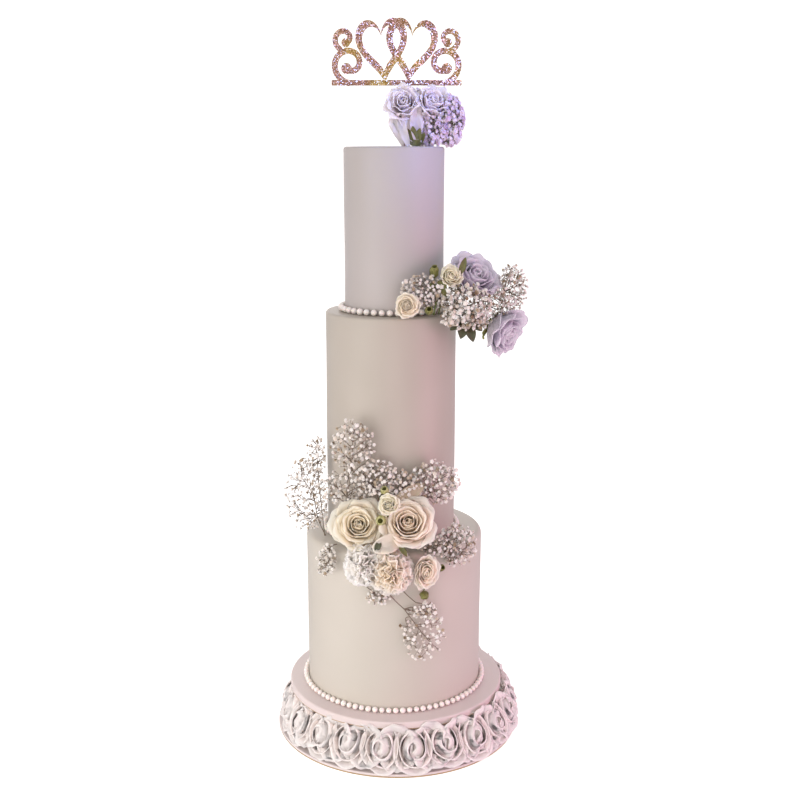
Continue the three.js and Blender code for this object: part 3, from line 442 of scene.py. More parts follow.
roll = add_node(ring_tree, "FunctionNodeRandomValue", {"data_type": "FLOAT"}, {
    2: less_roll, 3: ring_value["Roll"], "ID": which, "Seed": ring_value["Seed"]})
roll_vector = add_node(ring_tree, "ShaderNodeCombineXYZ", {}, {"Z": roll.outputs[1]})
roll_turn = add_node(ring_tree, "FunctionNodeEulerToRotation", {}, {"Euler": roll_vector})
rolled = add_node(ring_tree, "FunctionNodeRotateRotation", {"rotation_space": "LOCAL"}, {
    "Rotation": upright, "Rotate By": roll_turn})
choice = add_node(ring_tree, "FunctionNodeRandomValue", {"data_type": "INT"}, {
    4: 0, 5: 2, "Seed": ring_value["Seed"]})
any_size = add_node(ring_tree, "FunctionNodeRandomValue", {"data_type": "FLOAT"}, {
    2: ring_value["Least size"], 3: 1.0})
roses = add_node(ring_tree, "GeometryNodeJoinGeometry", {}, {})
for label in ("Rose 3", "Rose 2", "Rose 1"):
    source = add_node(ring_tree, "GeometryNodeObjectInfo", {}, {
        "Object": ring_value[label], "As Instance": True})
    connect(ring_tree, roses, {0: source.outputs["Geometry"]})
set_round = add_node(ring_tree, "GeometryNodeInstanceOnPoints", {}, {
    "Points": turned_ring, "Instance": roses, "Pick Instance": True, "Instance Index": choice.outputs[2],
    "Rotation": rolled, "Scale": any_size.outputs[1]})
shift = add_node(ring_tree, "ShaderNodeCombineXYZ", {}, {
    "X": ring_value["Centre X"], "Z": ring_value["Level"]})
moved = add_node(ring_tree, "GeometryNodeTransform", {}, {"Geometry": set_round, "Translation": shift})
real_roses = add_node(ring_tree, "GeometryNodeRealizeInstances", {}, {"Geometry": moved})
coated = add_node(ring_tree, "GeometryNodeSetMaterial", {}, {
    "Geometry": real_roses, "Material": ring_value["Material"]})
connect(ring_tree, ring_out, {0: coated})

# Places are of a rose's back, round the drum. The first rose's turn is a share of the step between two roses.
CLOTH_RINGS = {
    "ring_of_cloth_roses": {
        "sheets": wrapped_sheets, "size": (69, 79, 35), "back": 168, "middle": 31.2, "first": 0.42,
        "tilt": (24, 30), "roll": 40, "least_size": 0.96, "pattern_seed": 70, "ring_seed": 5,
        "nodes": ["stand_rose_%02d" % (i + 1) for i in range(ROSE_COUNT)]},
    "ring_of_cloth_petals": {
        "sheets": backing_sheets, "size": (74, 75, 28), "back": 167, "middle": 36.2, "first": 0.92,
        "tilt": (16, 24), "roll": 50, "least_size": 0.94, "pattern_seed": 80, "ring_seed": 6, "nodes": []}}
cloth = petal_material("stiffened_white_cloth", "#f2e7e2", "#f4e9e4", "#f1e5e0", 0.6, 24.0, 1.0)
ring_step = 360 / ROSE_COUNT
for name, ring in CLOTH_RINGS.items():
    patterns = []
    for i in range(CLOTH["patterns"]):
        rng = np.random.default_rng(ring["pattern_seed"] + i)
        sheets = ring["sheets"](rng)
        label = "%s_pattern_%d" % (name, i)
        patterns.append(sheet_piece(label, sheets, ring["size"], Matrix(), cloth, CLOTH["thickness"]))
    cloth_ring = grown_from(name, ring_tree, {
        "Count": ROSE_COUNT, "Radius": ring["back"] * MM, "Level": ring["middle"] * MM,
        "Centre X": CLOTH["x"] * MM, "First turn": math.radians(ring["first"] * ring_step - 90),
        "Least tilt": math.radians(ring["tilt"][0]), "Most tilt": math.radians(ring["tilt"][1]),
        "Roll": math.radians(ring["roll"]), "Least size": ring["least_size"], "Rose 1": patterns[0],
        "Rose 2": patterns[1], "Rose 3": patterns[2], "Material": cloth, "Seed": ring["ring_seed"]})
    for pattern in patterns:
        bpy.data.objects.remove(pattern)
    if ring["nodes"]:
        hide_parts(*ring["nodes"])
    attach(cloth_ring, "root")


# ---------------------------------------------------------------- cake board
# A round card board covered with the same icing as the cake. A thin gold foil shows round its lower edge.

BOARD = {
    "radius": 177.8, "base": 69.6, "thickness": 12, "round": 3, "lower_round": 0.6, "foil": 1.5, "x": -2,
    "inner_ring": 100}
DENTS_APART, GRAIN = 90.909, 1.42857


def sugar_paste(name, colours, roughness):
    """Rolled sugar paste, smoothed by hand: nearly matt, faintly glowing, with shallow dents.

    Real paste has a finer grain, which is drawn coarser so that it shows.
    """
    material, tree, shader, where = new_material(name, roughness)
    broad = add_node(tree, "ShaderNodeTexNoise", {}, {
        "Vector": where, "Scale": 1 / (DENTS_APART * MM), "Detail": 1.0})
    fine = add_node(tree, "ShaderNodeTexNoise", {}, {
        "Vector": where, "Scale": 1 / (GRAIN * MM), "Detail": 2.0})
    tone = add_node(tree, "ShaderNodeMix", {"data_type": "RGBA"}, {
        0: broad, 6: linear(colours[0]), 7: linear(colours[1])})
    dents = add_node(tree, "ShaderNodeBump", {}, {"Height": broad, "Strength": 0.35, "Distance": 3 * MM})
    grain = add_node(tree, "ShaderNodeBump", {}, {
        "Height": fine, "Strength": 0.12, "Distance": 0.2 * MM, "Normal": dents})
    connect(tree, shader, {
        "Base Color": tone.outputs[2], "Normal": grain, "Subsurface Weight": 0.12, "Subsurface Scale": 6 * MM,
        "Subsurface Radius": (1.0, 0.85, 0.7)})
    return material


# The board's icing is the tiers' paste painted lighter and pinker for the light on its top: painted light.
board_icing = sugar_paste("sugar_paste_board", ("#ddd0cd", "#d6c9c7"), 0.5)
board_top = BOARD["base"] + BOARD["thickness"]
foil_top = BOARD["base"] + BOARD["foil"]
board_profile = [
    (0, BOARD["base"]), (BOARD["inner_ring"], BOARD["base"]),
    *rounded(BOARD["radius"], BOARD["base"], BOARD["lower_round"], False, 3), (BOARD["radius"], foil_top),
    *rounded(BOARD["radius"], board_top, BOARD["round"], True, 8),
    (BOARD["inner_ring"], board_top), (0, board_top)]
foil = (BOARD["base"], foil_top)
board = turned("iced_board", board_profile, [board_icing, gold_paint], foil, x=BOARD["x"])
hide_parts("cake_board")
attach(board, "root")


# ---------------------------------------------------------------- the three tiers
# Each tier is a tall round cake under white sugar paste, smoothed by hand, so its sides waver by a few
# tenths of a millimetre. The bottom tier has the softest shoulder, and the middle one stands a little to the
# left.

STACK_X = -5
TIERS = {
    "bottom": {"radius": 143.5, "base": 81.9, "height": 261, "shoulder": 10, "x": STACK_X},
    "middle": {"radius": 103.5, "base": 343.2, "height": 358, "shoulder": 4, "x": -10},
    "top": {"radius": 78, "base": 701.5, "height": 252, "shoulder": 4, "x": STACK_X}}
# The tiers wear one white sugar paste, painted a different grey each for the light it gets: painted shade
# makes the middle and top tiers darker than the bottom one.
TIER_COLOURS_AND_PAINTED_SHADE = {
    "bottom": ("#c8c2b8", "#c1bbb0"), "middle": ("#b8b0a6", "#b1a99e"), "top": ("#b8b1af", "#b1aaa7")}
TIER_RINGS = {"tuck": 1, "step": 12, "lid": 30}
# Each wave of a side: its share, its number round the tier, and the height over which it drifts by a radian.
SIDE_WAVES = ((1.0, 2, 90), (0.7, 3, -60), (0.4, 7, 35), (0.3, 11, -25))
SIDE_WAVE_DEPTH = 0.22
LEVEL_WAVE = {"depth": 0.15, "length": 40}


def hand_waver(seed):
    """The waver of a hand-smoothed side, in millimetres, as a function of the angle and the height."""
    phases = np.random.default_rng(seed).uniform(0, 2 * math.pi, len(SIDE_WAVES) + 1)

    def waver(angle, height):
        round_waves = 0.0
        for (share, count, drift), phase in zip(SIDE_WAVES, phases):
            round_waves = round_waves + share * np.sin(count * angle + phase + height / drift)
        level_waves = np.sin(height / LEVEL_WAVE["length"] + phases[-1])
        return SIDE_WAVE_DEPTH * round_waves + LEVEL_WAVE["depth"] * level_waves

    return waver


for number, (name, tier) in enumerate(TIERS.items()):
    radius, base, lid = tier["radius"], tier["base"], tier["base"] + tier["height"]
    rows = int((tier["height"] - tier["shoulder"]) / TIER_RINGS["step"])
    side = [(radius, base + TIER_RINGS["tuck"] + i * TIER_RINGS["step"]) for i in range(rows)]
    profile = [
        (0, base), (radius - TIER_RINGS["tuck"], base), *side,
        *rounded(radius, lid, tier["shoulder"], True, 10),
        (radius - TIER_RINGS["lid"], lid), (radius / 2, lid), (0, lid)]
    icing = sugar_paste("sugar_paste_" + name, TIER_COLOURS_AND_PAINTED_SHADE[name], 0.46)
    cake = turned("tier_%s_iced" % name, profile, [icing], x=tier["x"], waver=hand_waver(number))
    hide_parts("tier_" + name)
    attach(cake, "root")


# ---------------------------------------------------------------- the pearl borders
# A row of sugar pearls hides the joint at the foot of each tier. They are rolled balls with a soft pearl
# lustre, set one by one, so they vary a little in size.

PEARLS = {
    "bottom": {"size": 9.5, "pitch": 11}, "middle": {"size": 9.5, "pitch": 11},
    "top": {"size": 10.5, "pitch": 12.5}}
PEARL_GAP = 0.4
PEARL_VARIES = 0.12

pearl_tree, pearl_value, pearl_out = new_tree("pearl_row", {
    "Count": "Int", "Radius": "Float", "Pearl": "Float", "Variation": "Float", "Centre": "Vector",
    "Material": "Material", "Seed": "Int"})
row = add_node(pearl_tree, "GeometryNodeMeshCircle", {}, {
    "Vertices": pearl_value["Count"], "Radius": pearl_value["Radius"]})
pearl_half = add_node(pearl_tree, "ShaderNodeMath", {"operation": "MULTIPLY"}, {
    0: pearl_value["Pearl"], 1: 0.5})
ball = add_node(pearl_tree, "GeometryNodeMeshUVSphere", {}, {
    "Segments": 20, "Rings": 12, "Radius": pearl_half})
smallest = add_node(pearl_tree, "ShaderNodeMath", {"operation": "SUBTRACT"}, {
    0: 1.0, 1: pearl_value["Variation"]})
pearl_size = add_node(pearl_tree, "FunctionNodeRandomValue", {"data_type": "FLOAT"}, {
    2: smallest, 3: 1.0, "Seed": pearl_value["Seed"]})
set_pearls = add_node(pearl_tree, "GeometryNodeInstanceOnPoints", {}, {
    "Points": row, "Instance": ball, "Scale": pearl_size.outputs[1]})
set_down = add_node(pearl_tree, "GeometryNodeTransform", {}, {
    "Geometry": set_pearls, "Translation": pearl_value["Centre"]})
real_pearls = add_node(pearl_tree, "GeometryNodeRealizeInstances", {}, {"Geometry": set_down})
smooth_pearls = add_node(pearl_tree, "GeometryNodeSetShadeSmooth", {}, {"Geometry": real_pearls})
glazed = add_node(pearl_tree, "GeometryNodeSetMaterial", {}, {
    "Geometry": smooth_pearls, "Material": pearl_value["Material"]})
connect(pearl_tree, pearl_out, {0: glazed})

# Sugar balls polished with edible lustre: a soft shine over a milky white that is mottled every 4 mm.
sugar_pearl, tree, shader, where = new_material("lustre_sugar_pearl", 0.28)
mottle = add_node(tree, "ShaderNodeTexNoise", {}, {"Vector": where, "Scale": 1 / (4 * MM), "Detail": 2.0})
milky = add_node(tree, "ShaderNodeMix", {"data_type": "RGBA"}, {
    0: mottle, 6: linear("#faf4ee"), 7: linear("#efe6e1")})
connect(tree, shader, {
    "Base Color": milky.outputs[2], "Coat Weight": 0.4, "Coat Roughness": 0.15, "Subsurface Weight": 0.1,
    "Subsurface Scale": 3 * MM})

for number, (name, pearl) in enumerate(PEARLS.items()):
    tier = TIERS[name]
    ring_radius = tier["radius"] + PEARL_GAP + pearl["size"] / 2
    level = tier["base"] + pearl["size"] / 2
    border = grown_from("pearls_" + name, pearl_tree, {
        "Count": round(2 * math.pi * ring_radius / pearl["pitch"]), "Radius": ring_radius * MM,
        "Pearl": pearl["size"] * MM, "Variation": PEARL_VARIES, "Centre": (tier["x"] * MM, 0.0, level * MM),
        "Material": sugar_pearl, "Seed": number})
    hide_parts("border_" + name)
    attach(border, "root")


# ---------------------------------------------------------------- topper
# A plate cut from one sheet and covered with coarse gold glitter on both faces. Two linked hearts stand
# between scrolls on a bar, and two picks under the bar go down among the flowers.

TOPPER = {"x": -1, "plane": -4, "base": 1044, "width": 205, "thickness": 3.2}
BAR = {"height": 8, "inset": 4}
HEART = {
    "width": 78, "height": 96, "stroke": 10, "lean": 0.09, "apart": 17, "foot": 1,
    "foot_stroke": 1.9, "steps": 96}
SCROLL = {"inset": 32, "height": 32, "outer": 29, "inner": 9, "turns": 1.1, "stroke": 9, "knob": 8}
FINIAL = {"inset": 24, "height": 68, "outer": 18, "inner": 6, "turns": 0.95, "stroke": 8, "knob": 6.5}
SCROLL_STEPS = 60
PICKS = {"at": (12, 52), "width": 4, "length": 90}


def plate(outline, hole=None):
    """A flat plate of the topper's thickness with an outline in millimetres, and a hole if one is given."""
    curve = bpy.data.curves.new("plate", "CURVE")
    curve.dimensions = "2D"
    curve.fill_mode = "BOTH"
    curve.extrude = TOPPER["thickness"] / 2
    for loop in filter(None, (outline, hole)):
        spline = curve.splines.new("POLY")
        spline.points.add(len(loop) - 1)
        spline.points.foreach_set("co", [value for x, y in loop for value in (x, y, 0.0, 1.0)])
        spline.use_cyclic_u = True
    maker = bpy.data.objects.new("plate", curve)
    bpy.context.collection.objects.link(maker)
    graph = bpy.context.evaluated_depsgraph_get()
    mesh = bpy.data.meshes.new_from_object(maker.evaluated_get(graph))
    bpy.data.objects.remove(maker)
    piece = bpy.data.objects.new("plate", mesh)
    bpy.context.collection.objects.link(piece)
    return piece


def stroke(line, width):
    """The outline of a stroke of one width along a line of points, with square ends."""
    line = np.array(line, dtype=float)
    along = np.gradient(line, axis=0)
    along /= np.linalg.norm(along, axis=1)[:, None]
    normal = np.stack([-along[:, 1], along[:, 0]], axis=1)
    left, right = line + normal * width / 2, line - normal * width / 2
    return [tuple(p) for p in left] + [tuple(p) for p in right[::-1]]


def disc(centre, radius, steps=32):
    """The outline of the round knob in which a scroll ends."""
    turns = [2 * math.pi * i / steps for i in range(steps)]
    return [(centre[0] + radius * math.cos(a), centre[1] + radius * math.sin(a)) for a in turns]


def heart(side, inset):
    """A heart's outline, `inset` millimetres in, leaning out from its foot on one side of the middle.

    The level is the usual heart curve, which runs from -17 at the foot to 12 at the top of the lobes.
    """
    points = []
    lean = -side * HEART["lean"]
    for i in range(HEART["steps"]):
        t = 2 * math.pi * (i + 0.5) / HEART["steps"]
        level = 13 * math.cos(t) - 5 * math.cos(2 * t) - 2 * math.cos(3 * t) - math.cos(4 * t)
        x = math.sin(t) ** 3 * (HEART["width"] / 2 - inset)
        y = mix(inset * HEART["foot_stroke"], HEART["height"] - inset, (level + 17) / 29)
        points.append((side * HEART["apart"] + x * math.cos(lean) - y * math.sin(lean),
                       HEART["foot"] + x * math.sin(lean) + y * math.cos(lean)))
    return points


def scroll(side, shape):
    """The line of a scroll that starts at the foot of its circle and curls inwards."""
    line = []
    for i in range(SCROLL_STEPS + 1):
        t = i / SCROLL_STEPS
        angle = -math.pi / 2 + t * shape["turns"] * 2 * math.pi
        radius = mix(shape["outer"], shape["inner"], t ** 0.8)
        across = TOPPER["width"] / 2 - shape["inset"] + radius * math.cos(angle)
        line.append((side * across, shape["height"] + radius * math.sin(angle)))
    return line


bar_end, bar_middle = TOPPER["width"] / 2 - BAR["inset"], BAR["height"] / 2
plates = [plate(stroke([(-bar_end, bar_middle), (bar_end, bar_middle)], BAR["height"]))]
for side in (-1, 1):
    plates.append(plate(heart(side, 0), heart(side, HEART["stroke"])))
    for shape in (SCROLL, FINIAL):
        line = scroll(side, shape)
        plates += [plate(stroke(line, shape["stroke"])), plate(disc(line[-1], shape["knob"]))]
for x in PICKS["at"]:
    plates.append(plate(stroke([(x, bar_middle), (x, -PICKS["length"])], PICKS["width"])))
topper, others = plates[0], bpy.data.collections.new("plates")
for other in plates[1:]:
    others.objects.link(other)
joined = topper.modifiers.new("joined", "BOOLEAN")
joined.operation = "UNION"
joined.operand_type = "COLLECTION"
joined.collection = others
joined.solver = "EXACT"
baked(topper)
for other in plates[1:]:
    bpy.data.objects.remove(other)
bpy.data.collections.remove(others)
topper.name = topper.data.name = "glitter_topper"

# Glitter is flakes of coloured foil well under a millimetre across, each tipped its own way: rose and brown,
# with patches of yellow gold. The near-white flakes are painted glints. They are drawn at 1.3 mm so that they
# show from a step away. The cut edge is bare card.
FLAKE = 1.31579
PATCH = 45.4545
ROSE_FLAKES_AND_GLINTS = (
    (0.0, "#5f4136"), (0.25, "#835d4d"), (0.5, "#a87d6c"), (0.75, "#c89f90"),
    (0.86, "#f0d3ca"), (0.96, "#fff6f2"))
GOLD_FLAKES_AND_GLINTS = (
    (0.0, "#6f5128"), (0.25, "#95733b"), (0.5, "#b29350"), (0.75, "#cbae70"),
    (0.88, "#ecd79c"), (0.97, "#fff8e4"))


def set_stops(node, stops):
    """Gives a colour ramp its stops, each a position and a hex colour, and hands back the ramp."""
    while len(node.color_ramp.elements) < len(stops):
        node.color_ramp.elements.new(0.5)
    for element, (position, colour) in zip(node.color_ramp.elements, stops):
        element.position = position
        element.color = linear(colour)
    return node


glitter, tree, shader, where = new_material("gold_glitter_card", 0.32, 0.7)
flakes = add_node(tree, "ShaderNodeTexVoronoi", {"feature": "F1"}, {
    "Vector": where, "Scale": 1 / (FLAKE * MM)})
chance = add_node(tree, "ShaderNodeSeparateColor", {}, {"Color": flakes.outputs["Color"]})
patches = add_node(tree, "ShaderNodeTexNoise", {}, {
    "Vector": where, "Scale": 1 / (PATCH * MM), "Detail": 1.0})
golden = add_node(tree, "ShaderNodeMapRange", {}, {0: patches, 1: 0.5, 2: 0.66})
# The near-white top stops of both ramps are painted glints.
rose_tone = set_stops(add_node(tree, "ShaderNodeValToRGB", {}, {"Fac": chance}), ROSE_FLAKES_AND_GLINTS)
gold_tone = set_stops(add_node(tree, "ShaderNodeValToRGB", {}, {"Fac": chance}), GOLD_FLAKES_AND_GLINTS)
flake_tone = add_node(tree, "ShaderNodeMix", {"data_type": "RGBA"}, {
    0: golden, 6: rose_tone.outputs[0], 7: gold_tone.outputs[0]})
tip = add_node(tree, "ShaderNodeVectorMath", {"operation": "SUBTRACT"}, {
    0: flakes.outputs["Color"], 1: (0.5, 0.5, 0.5)})
tipped = add_node(tree, "ShaderNodeVectorMath", {"operation": "SCALE"}, {0: tip, "Scale": 0.9})
straight = add_node(tree, "ShaderNodeNewGeometry", {}, {})
turned_normal = add_node(tree, "ShaderNodeVectorMath", {"operation": "ADD"}, {
    0: straight.outputs["Normal"], 1: tipped})
flake_normal = add_node(tree, "ShaderNodeVectorMath", {"operation": "NORMALIZE"}, {0: turned_normal})
connect(tree, shader, {"Base Color": flake_tone.outputs[2], "Normal": flake_normal})
card_edge = brushed_paint("rose_card_edge", ("#9a7368", "#7b574c"), 0.6, 0.0, 2)

topper.data.materials.clear()
topper.data.materials.append(glitter)
topper.data.materials.append(card_edge)
for face in topper.data.polygons:
    face.material_index = 0 if abs(face.normal.z) > 0.5 else 1
topper_back = Vector((TOPPER["x"], TOPPER["plane"] - TOPPER["thickness"] / 2, TOPPER["base"])) * MM
stand_up = Matrix.Rotation(math.pi / 2, 4, "X")
topper.data.transform(Matrix.Translation(topper_back) @ Matrix.Scale(MM, 4) @ stand_up)
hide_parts("topper")
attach(topper, "root")


# ---------------------------------------------------------------- fresh roses
# Fresh garden roses and small spray roses are pushed into the ledges on their stems, in three groups: on the
# top, right of the middle tier's top, and at the front of the bottom tier.

GARDEN_ROSE = {
    "petals": 27, "lengths": (0.85, 1.32), "halves": (0.42, 0.9), "rounding": 0.16, "base": 74, "mid": 36,
    "roll": 60, "wave": 0.035, "edge": 0.1, "spread": 0.85}
CUPPED_ROSE = {**GARDEN_ROSE, "petals": 24, "mid": 26, "roll": 48, "edge": 0.06}
LOOSE_ROSE = {**GARDEN_ROSE, "petals": 20, "halves": (0.5, 0.95), "mid": 30, "roll": 40, "wave": 0.05}
TOP_ROSE = {
    **LOOSE_ROSE, "petals": 13, "halves": (0.6, 1.05), "mid": 22, "roll": 46, "wave": 0.09, "edge": 0.12}
SPRAY_ROSE = {
    **GARDEN_ROSE, "petals": 22, "lengths": (0.95, 1.2), "mid": 26, "roll": 36, "wave": 0.05, "edge": 0.05}
ROSE_PETAL_THICKNESS = 0.5

ivory = petal_material("fresh_petals_ivory", "#f8e4c2", "#fbebd3", "#f3dfb4", 0.55, 30.0, 1.0)
blush = petal_material("fresh_petals_blush", "#f8dfc1", "#fbeada", "#f4d9b8", 0.55, 30.0, 1.0)
cream = petal_material("fresh_petals_cream", "#f8ebc4", "#fbf1d8", "#e8dfaa", 0.55, 26.0, 1.0)
lilac = petal_material("fresh_petals_lilac", "#ebdce5", "#efe2ea", "#e0cfda", 0.55, 30.0, 1.0)
# The middle-tier roses are the same pale lilac as the top ones; these petals are a greyer, bluer, darker
# copy: painted shade.
lilac_in_painted_shade = petal_material("fresh_petals_lilac_painted_shade", "#cfc6d2", "#cdc7d8", "#bdb4c6", 0.55, 30.0, 1.0)

# node: kind, petals, slot, then where the back of the head is from the cake's axis, its bearing, tilt and
# roll, its width, height and depth, and the seed of its petals.
ROSES = {
    "front_rose_right": (CUPPED_ROSE, blush, "blush_rose", (24, -128, 379), 2, 34, 40, (88, 86, 42), 12),
    "front_rose_left": (GARDEN_ROSE, ivory, "white_rose", (-54, -120, 379), 2, 32, -20, (92, 90, 40), 11),
    "front_rose_small": (SPRAY_ROSE, cream, "cream_rose", (-6, -164, 428), -4, 26, 0, (33, 33, 24), 13),
    "front_rose_oval": (SPRAY_ROSE, blush, "cream_rose", (45, -148, 323), 16, 2, -8, (40, 58, 28), 14),
    "middle_rose_large": (LOOSE_ROSE, lilac_in_painted_shade, "lilac_rose", (108, -36, 744), 40, 40, 10, (94, 84, 44), 15),
    "middle_rose_low": (LOOSE_ROSE, lilac_in_painted_shade, "lilac_rose", (150, -42, 686), 52, -24, 80, (82, 80, 46), 16),
    "middle_rose_cream": (SPRAY_ROSE, cream, "cream_rose", (82, -80, 757), 18, 28, 0, (37, 37, 26), 17),
    "middle_rose_small": (SPRAY_ROSE, ivory, "white_rose", (20, -103, 721), 6, 8, 0, (40, 40, 18), 18),
    "top_rose_left": (TOP_ROSE, lilac, "lilac_rose", (13, -18, 1009), -10, 24, 20, (57, 57, 34), 19),
    "top_rose_right": (TOP_ROSE, lilac, "lilac_rose", (50, -14, 1009), 22, 30, -30, (55, 55, 36), 20)}


def head_matrix(place, bearing, tilt, roll):
    """The placing of a head made facing +Z: it faces a bearing and tilt, its own Y as upright as can be."""
    turn, lift = math.radians(bearing), math.radians(tilt)
    facing = Vector((math.cos(lift) * math.sin(turn), -math.cos(lift) * math.cos(turn), math.sin(lift)))
    right = Vector((0, 0, 1)).cross(facing).normalized()
    axes = Matrix((right, facing.cross(right), facing)).transposed().to_4x4()
    spot = Vector((place[0] + STACK_X, place[1], place[2])) * MM
    return Matrix.Translation(spot) @ axes @ Matrix.Rotation(math.radians(roll), 4, "Z")


for node, (kind, petals, slot, place, bearing, tilt, roll, size, seed) in ROSES.items():
    rng = np.random.default_rng(seed)
    matrix = head_matrix(place, bearing, tilt, roll)
    head = sheet_piece("fresh_" + node, rose_sheets(kind, rng), size, matrix, petals, ROSE_PETAL_THICKNESS)
    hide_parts(node)
    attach(head, "root")


# ---------------------------------------------------------------- carnations
# Two carnations hang over the front edge of the bottom tier. A carnation is a ball of fan-shaped petals with
# wavy, toothed rims, packed so close that only the rims show.

CARNATION = {
    "petals": 34, "thickness": 0.35, "across": 25, "along": 8, "lean": (5, 102), "lean_varies": 0.08,
    "fan": 0.8, "foot_width": 0.3, "ruffles": 2.8, "ruffle": 0.13, "teeth": 8, "tooth": 0.06, "heart": 0.5}
peach = petal_material("carnation_petals_peach", "#f8dfbf", "#fcf3ec", "#f4dcbc", 0.6, 36.0, 1.0)
white = petal_material("carnation_petals_white", "#fcf6ee", "#fcf8f4", "#f6ecdc", 0.6, 36.0, 1.0)
# node: petals, slot, and the rest as for the roses.
CARNATIONS = {
    "carnation_peach": (peach, "blush_rose", (-5, -150, 327), -2, -2, 0, (74, 76, 50), 31),
    "carnation_white": (white, "white_rose", (-40, -144, 334), -14, 4, 0, (68, 72, 46), 32)}


def ruffled_petal(share, spin, rng):
    """A fan-shaped petal that leaves the axis at an angle set by its share: 0 in the heart, 1 outside."""
    side = np.linspace(-1, 1, CARNATION["across"])[None, :, None]
    rise = np.linspace(0, 1, CARNATION["along"])[:, None, None]
    lean = math.radians(mix(*CARNATION["lean"], share ** 0.75)) + rng.normal() * CARNATION["lean_varies"]
    facing = np.array([math.sin(lean) * math.cos(spin), math.sin(lean) * math.sin(spin), math.cos(lean)])
    collar = np.array([-math.sin(spin), math.cos(spin), 0.0])
    roll = rng.normal() * mix(1.0, 0.25, share)
    wide = collar * math.cos(roll) + np.cross(facing, collar) * math.sin(roll)
    thick = np.cross(facing, wide)
    teeth = CARNATION["tooth"] * np.abs((side * CARNATION["teeth"] + rng.uniform()) % 2 - 1)
    length = mix(0.82, 1.0, share) * rng.uniform(0.92, 1.05)
    reach = rise * length * (1 - 0.1 * side ** 2) * (1 - teeth * eased(0.7, 1, rise))
    fan = side * CARNATION["fan"] * mix(CARNATION["foot_width"], 1, rise)
    phase = rng.uniform(0, 2 * math.pi)
    ruffle = CARNATION["ruffle"] * rise ** 2 * np.sin(CARNATION["ruffles"] * math.pi * side + phase)
    points = facing * reach * np.cos(fan) + wide * reach * np.sin(fan) + thick * ruffle
    return sheet_of(points + np.array([0, 0, CARNATION["heart"]]), side, rise, share)


for node, (petals, slot, place, bearing, tilt, roll, size, seed) in CARNATIONS.items():
    rng = np.random.default_rng(seed)
    sheets = []
    for i in range(CARNATION["petals"]):
        sheets.append(ruffled_petal(i / (CARNATION["petals"] - 1), i * GOLDEN_ANGLE, rng))
    matrix = head_matrix(place, bearing, tilt, roll)
    head = sheet_piece("fresh_" + node, sheets, size, matrix, petals, CARNATION["thickness"])
    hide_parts(node)
    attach(head, "root")


# ---------------------------------------------------------------- stems and sepals
# Each head sits on a green stem that goes down into the icing, with five sepals behind it. The stems are
# wired by hand, so each leaves its head straight and then bends to where it is pushed in.

# node: which surface the stem enters, its bearing there, and its radius on a ledge or its height on the wall.
ANCHORS = {
    "front_rose_right": ("ledge_bottom", 6, 116), "front_rose_left": ("ledge_bottom", -24, 116),
    "front_rose_small": ("ledge_bottom", -11, 120), "front_rose_oval": ("wall_bottom", 18, 322),
    "middle_rose_large": ("ledge_middle", 70, 92), "middle_rose_low": ("ledge_middle", 62, 96),
    "middle_rose_cream": ("ledge_middle", 48, 92), "middle_rose_small": ("ledge_middle", 10, 94),
    "top_rose_left": ("ledge_top", 129, 25.6), "top_rose_right": ("ledge_top", 109, 42.4),
    "carnation_peach": ("wall_bottom", 0, 316), "carnation_white": ("wall_bottom", -15.5, 330)}
ANCHOR_LEVELS = {"ledge_bottom": 344.7, "ledge_middle": 703.0, "ledge_top": 954.1}
WALL_RADIUS = 145.3
STEM = {"radius": 1.3, "collar": 1.4, "steps": 9, "sides": 8, "into_head": 4, "straight": 14}
SEPALS = {"count": 5, "thickness": 0.4, "behind": 2, "shares": (0.62, 0.62, 0.3), "turn_varies": 0.2}
SEPAL = {
    "lengths": (1.0, 1.0), "halves": (0.3, 0.3), "rounding": 0.5, "base": 80, "mid": 84, "roll": -34,
    "wave": 0.03, "edge": 0.0}


def anchored(kind, bearing, measure):
    """The point in the stack's frame where a stem meets the icing."""
    turn = math.radians(bearing)
    radius, level = (WALL_RADIUS, measure) if kind == "wall_bottom" else (measure, ANCHOR_LEVELS[kind])
    return Vector((radius * math.sin(turn), -radius * math.cos(turn), level))


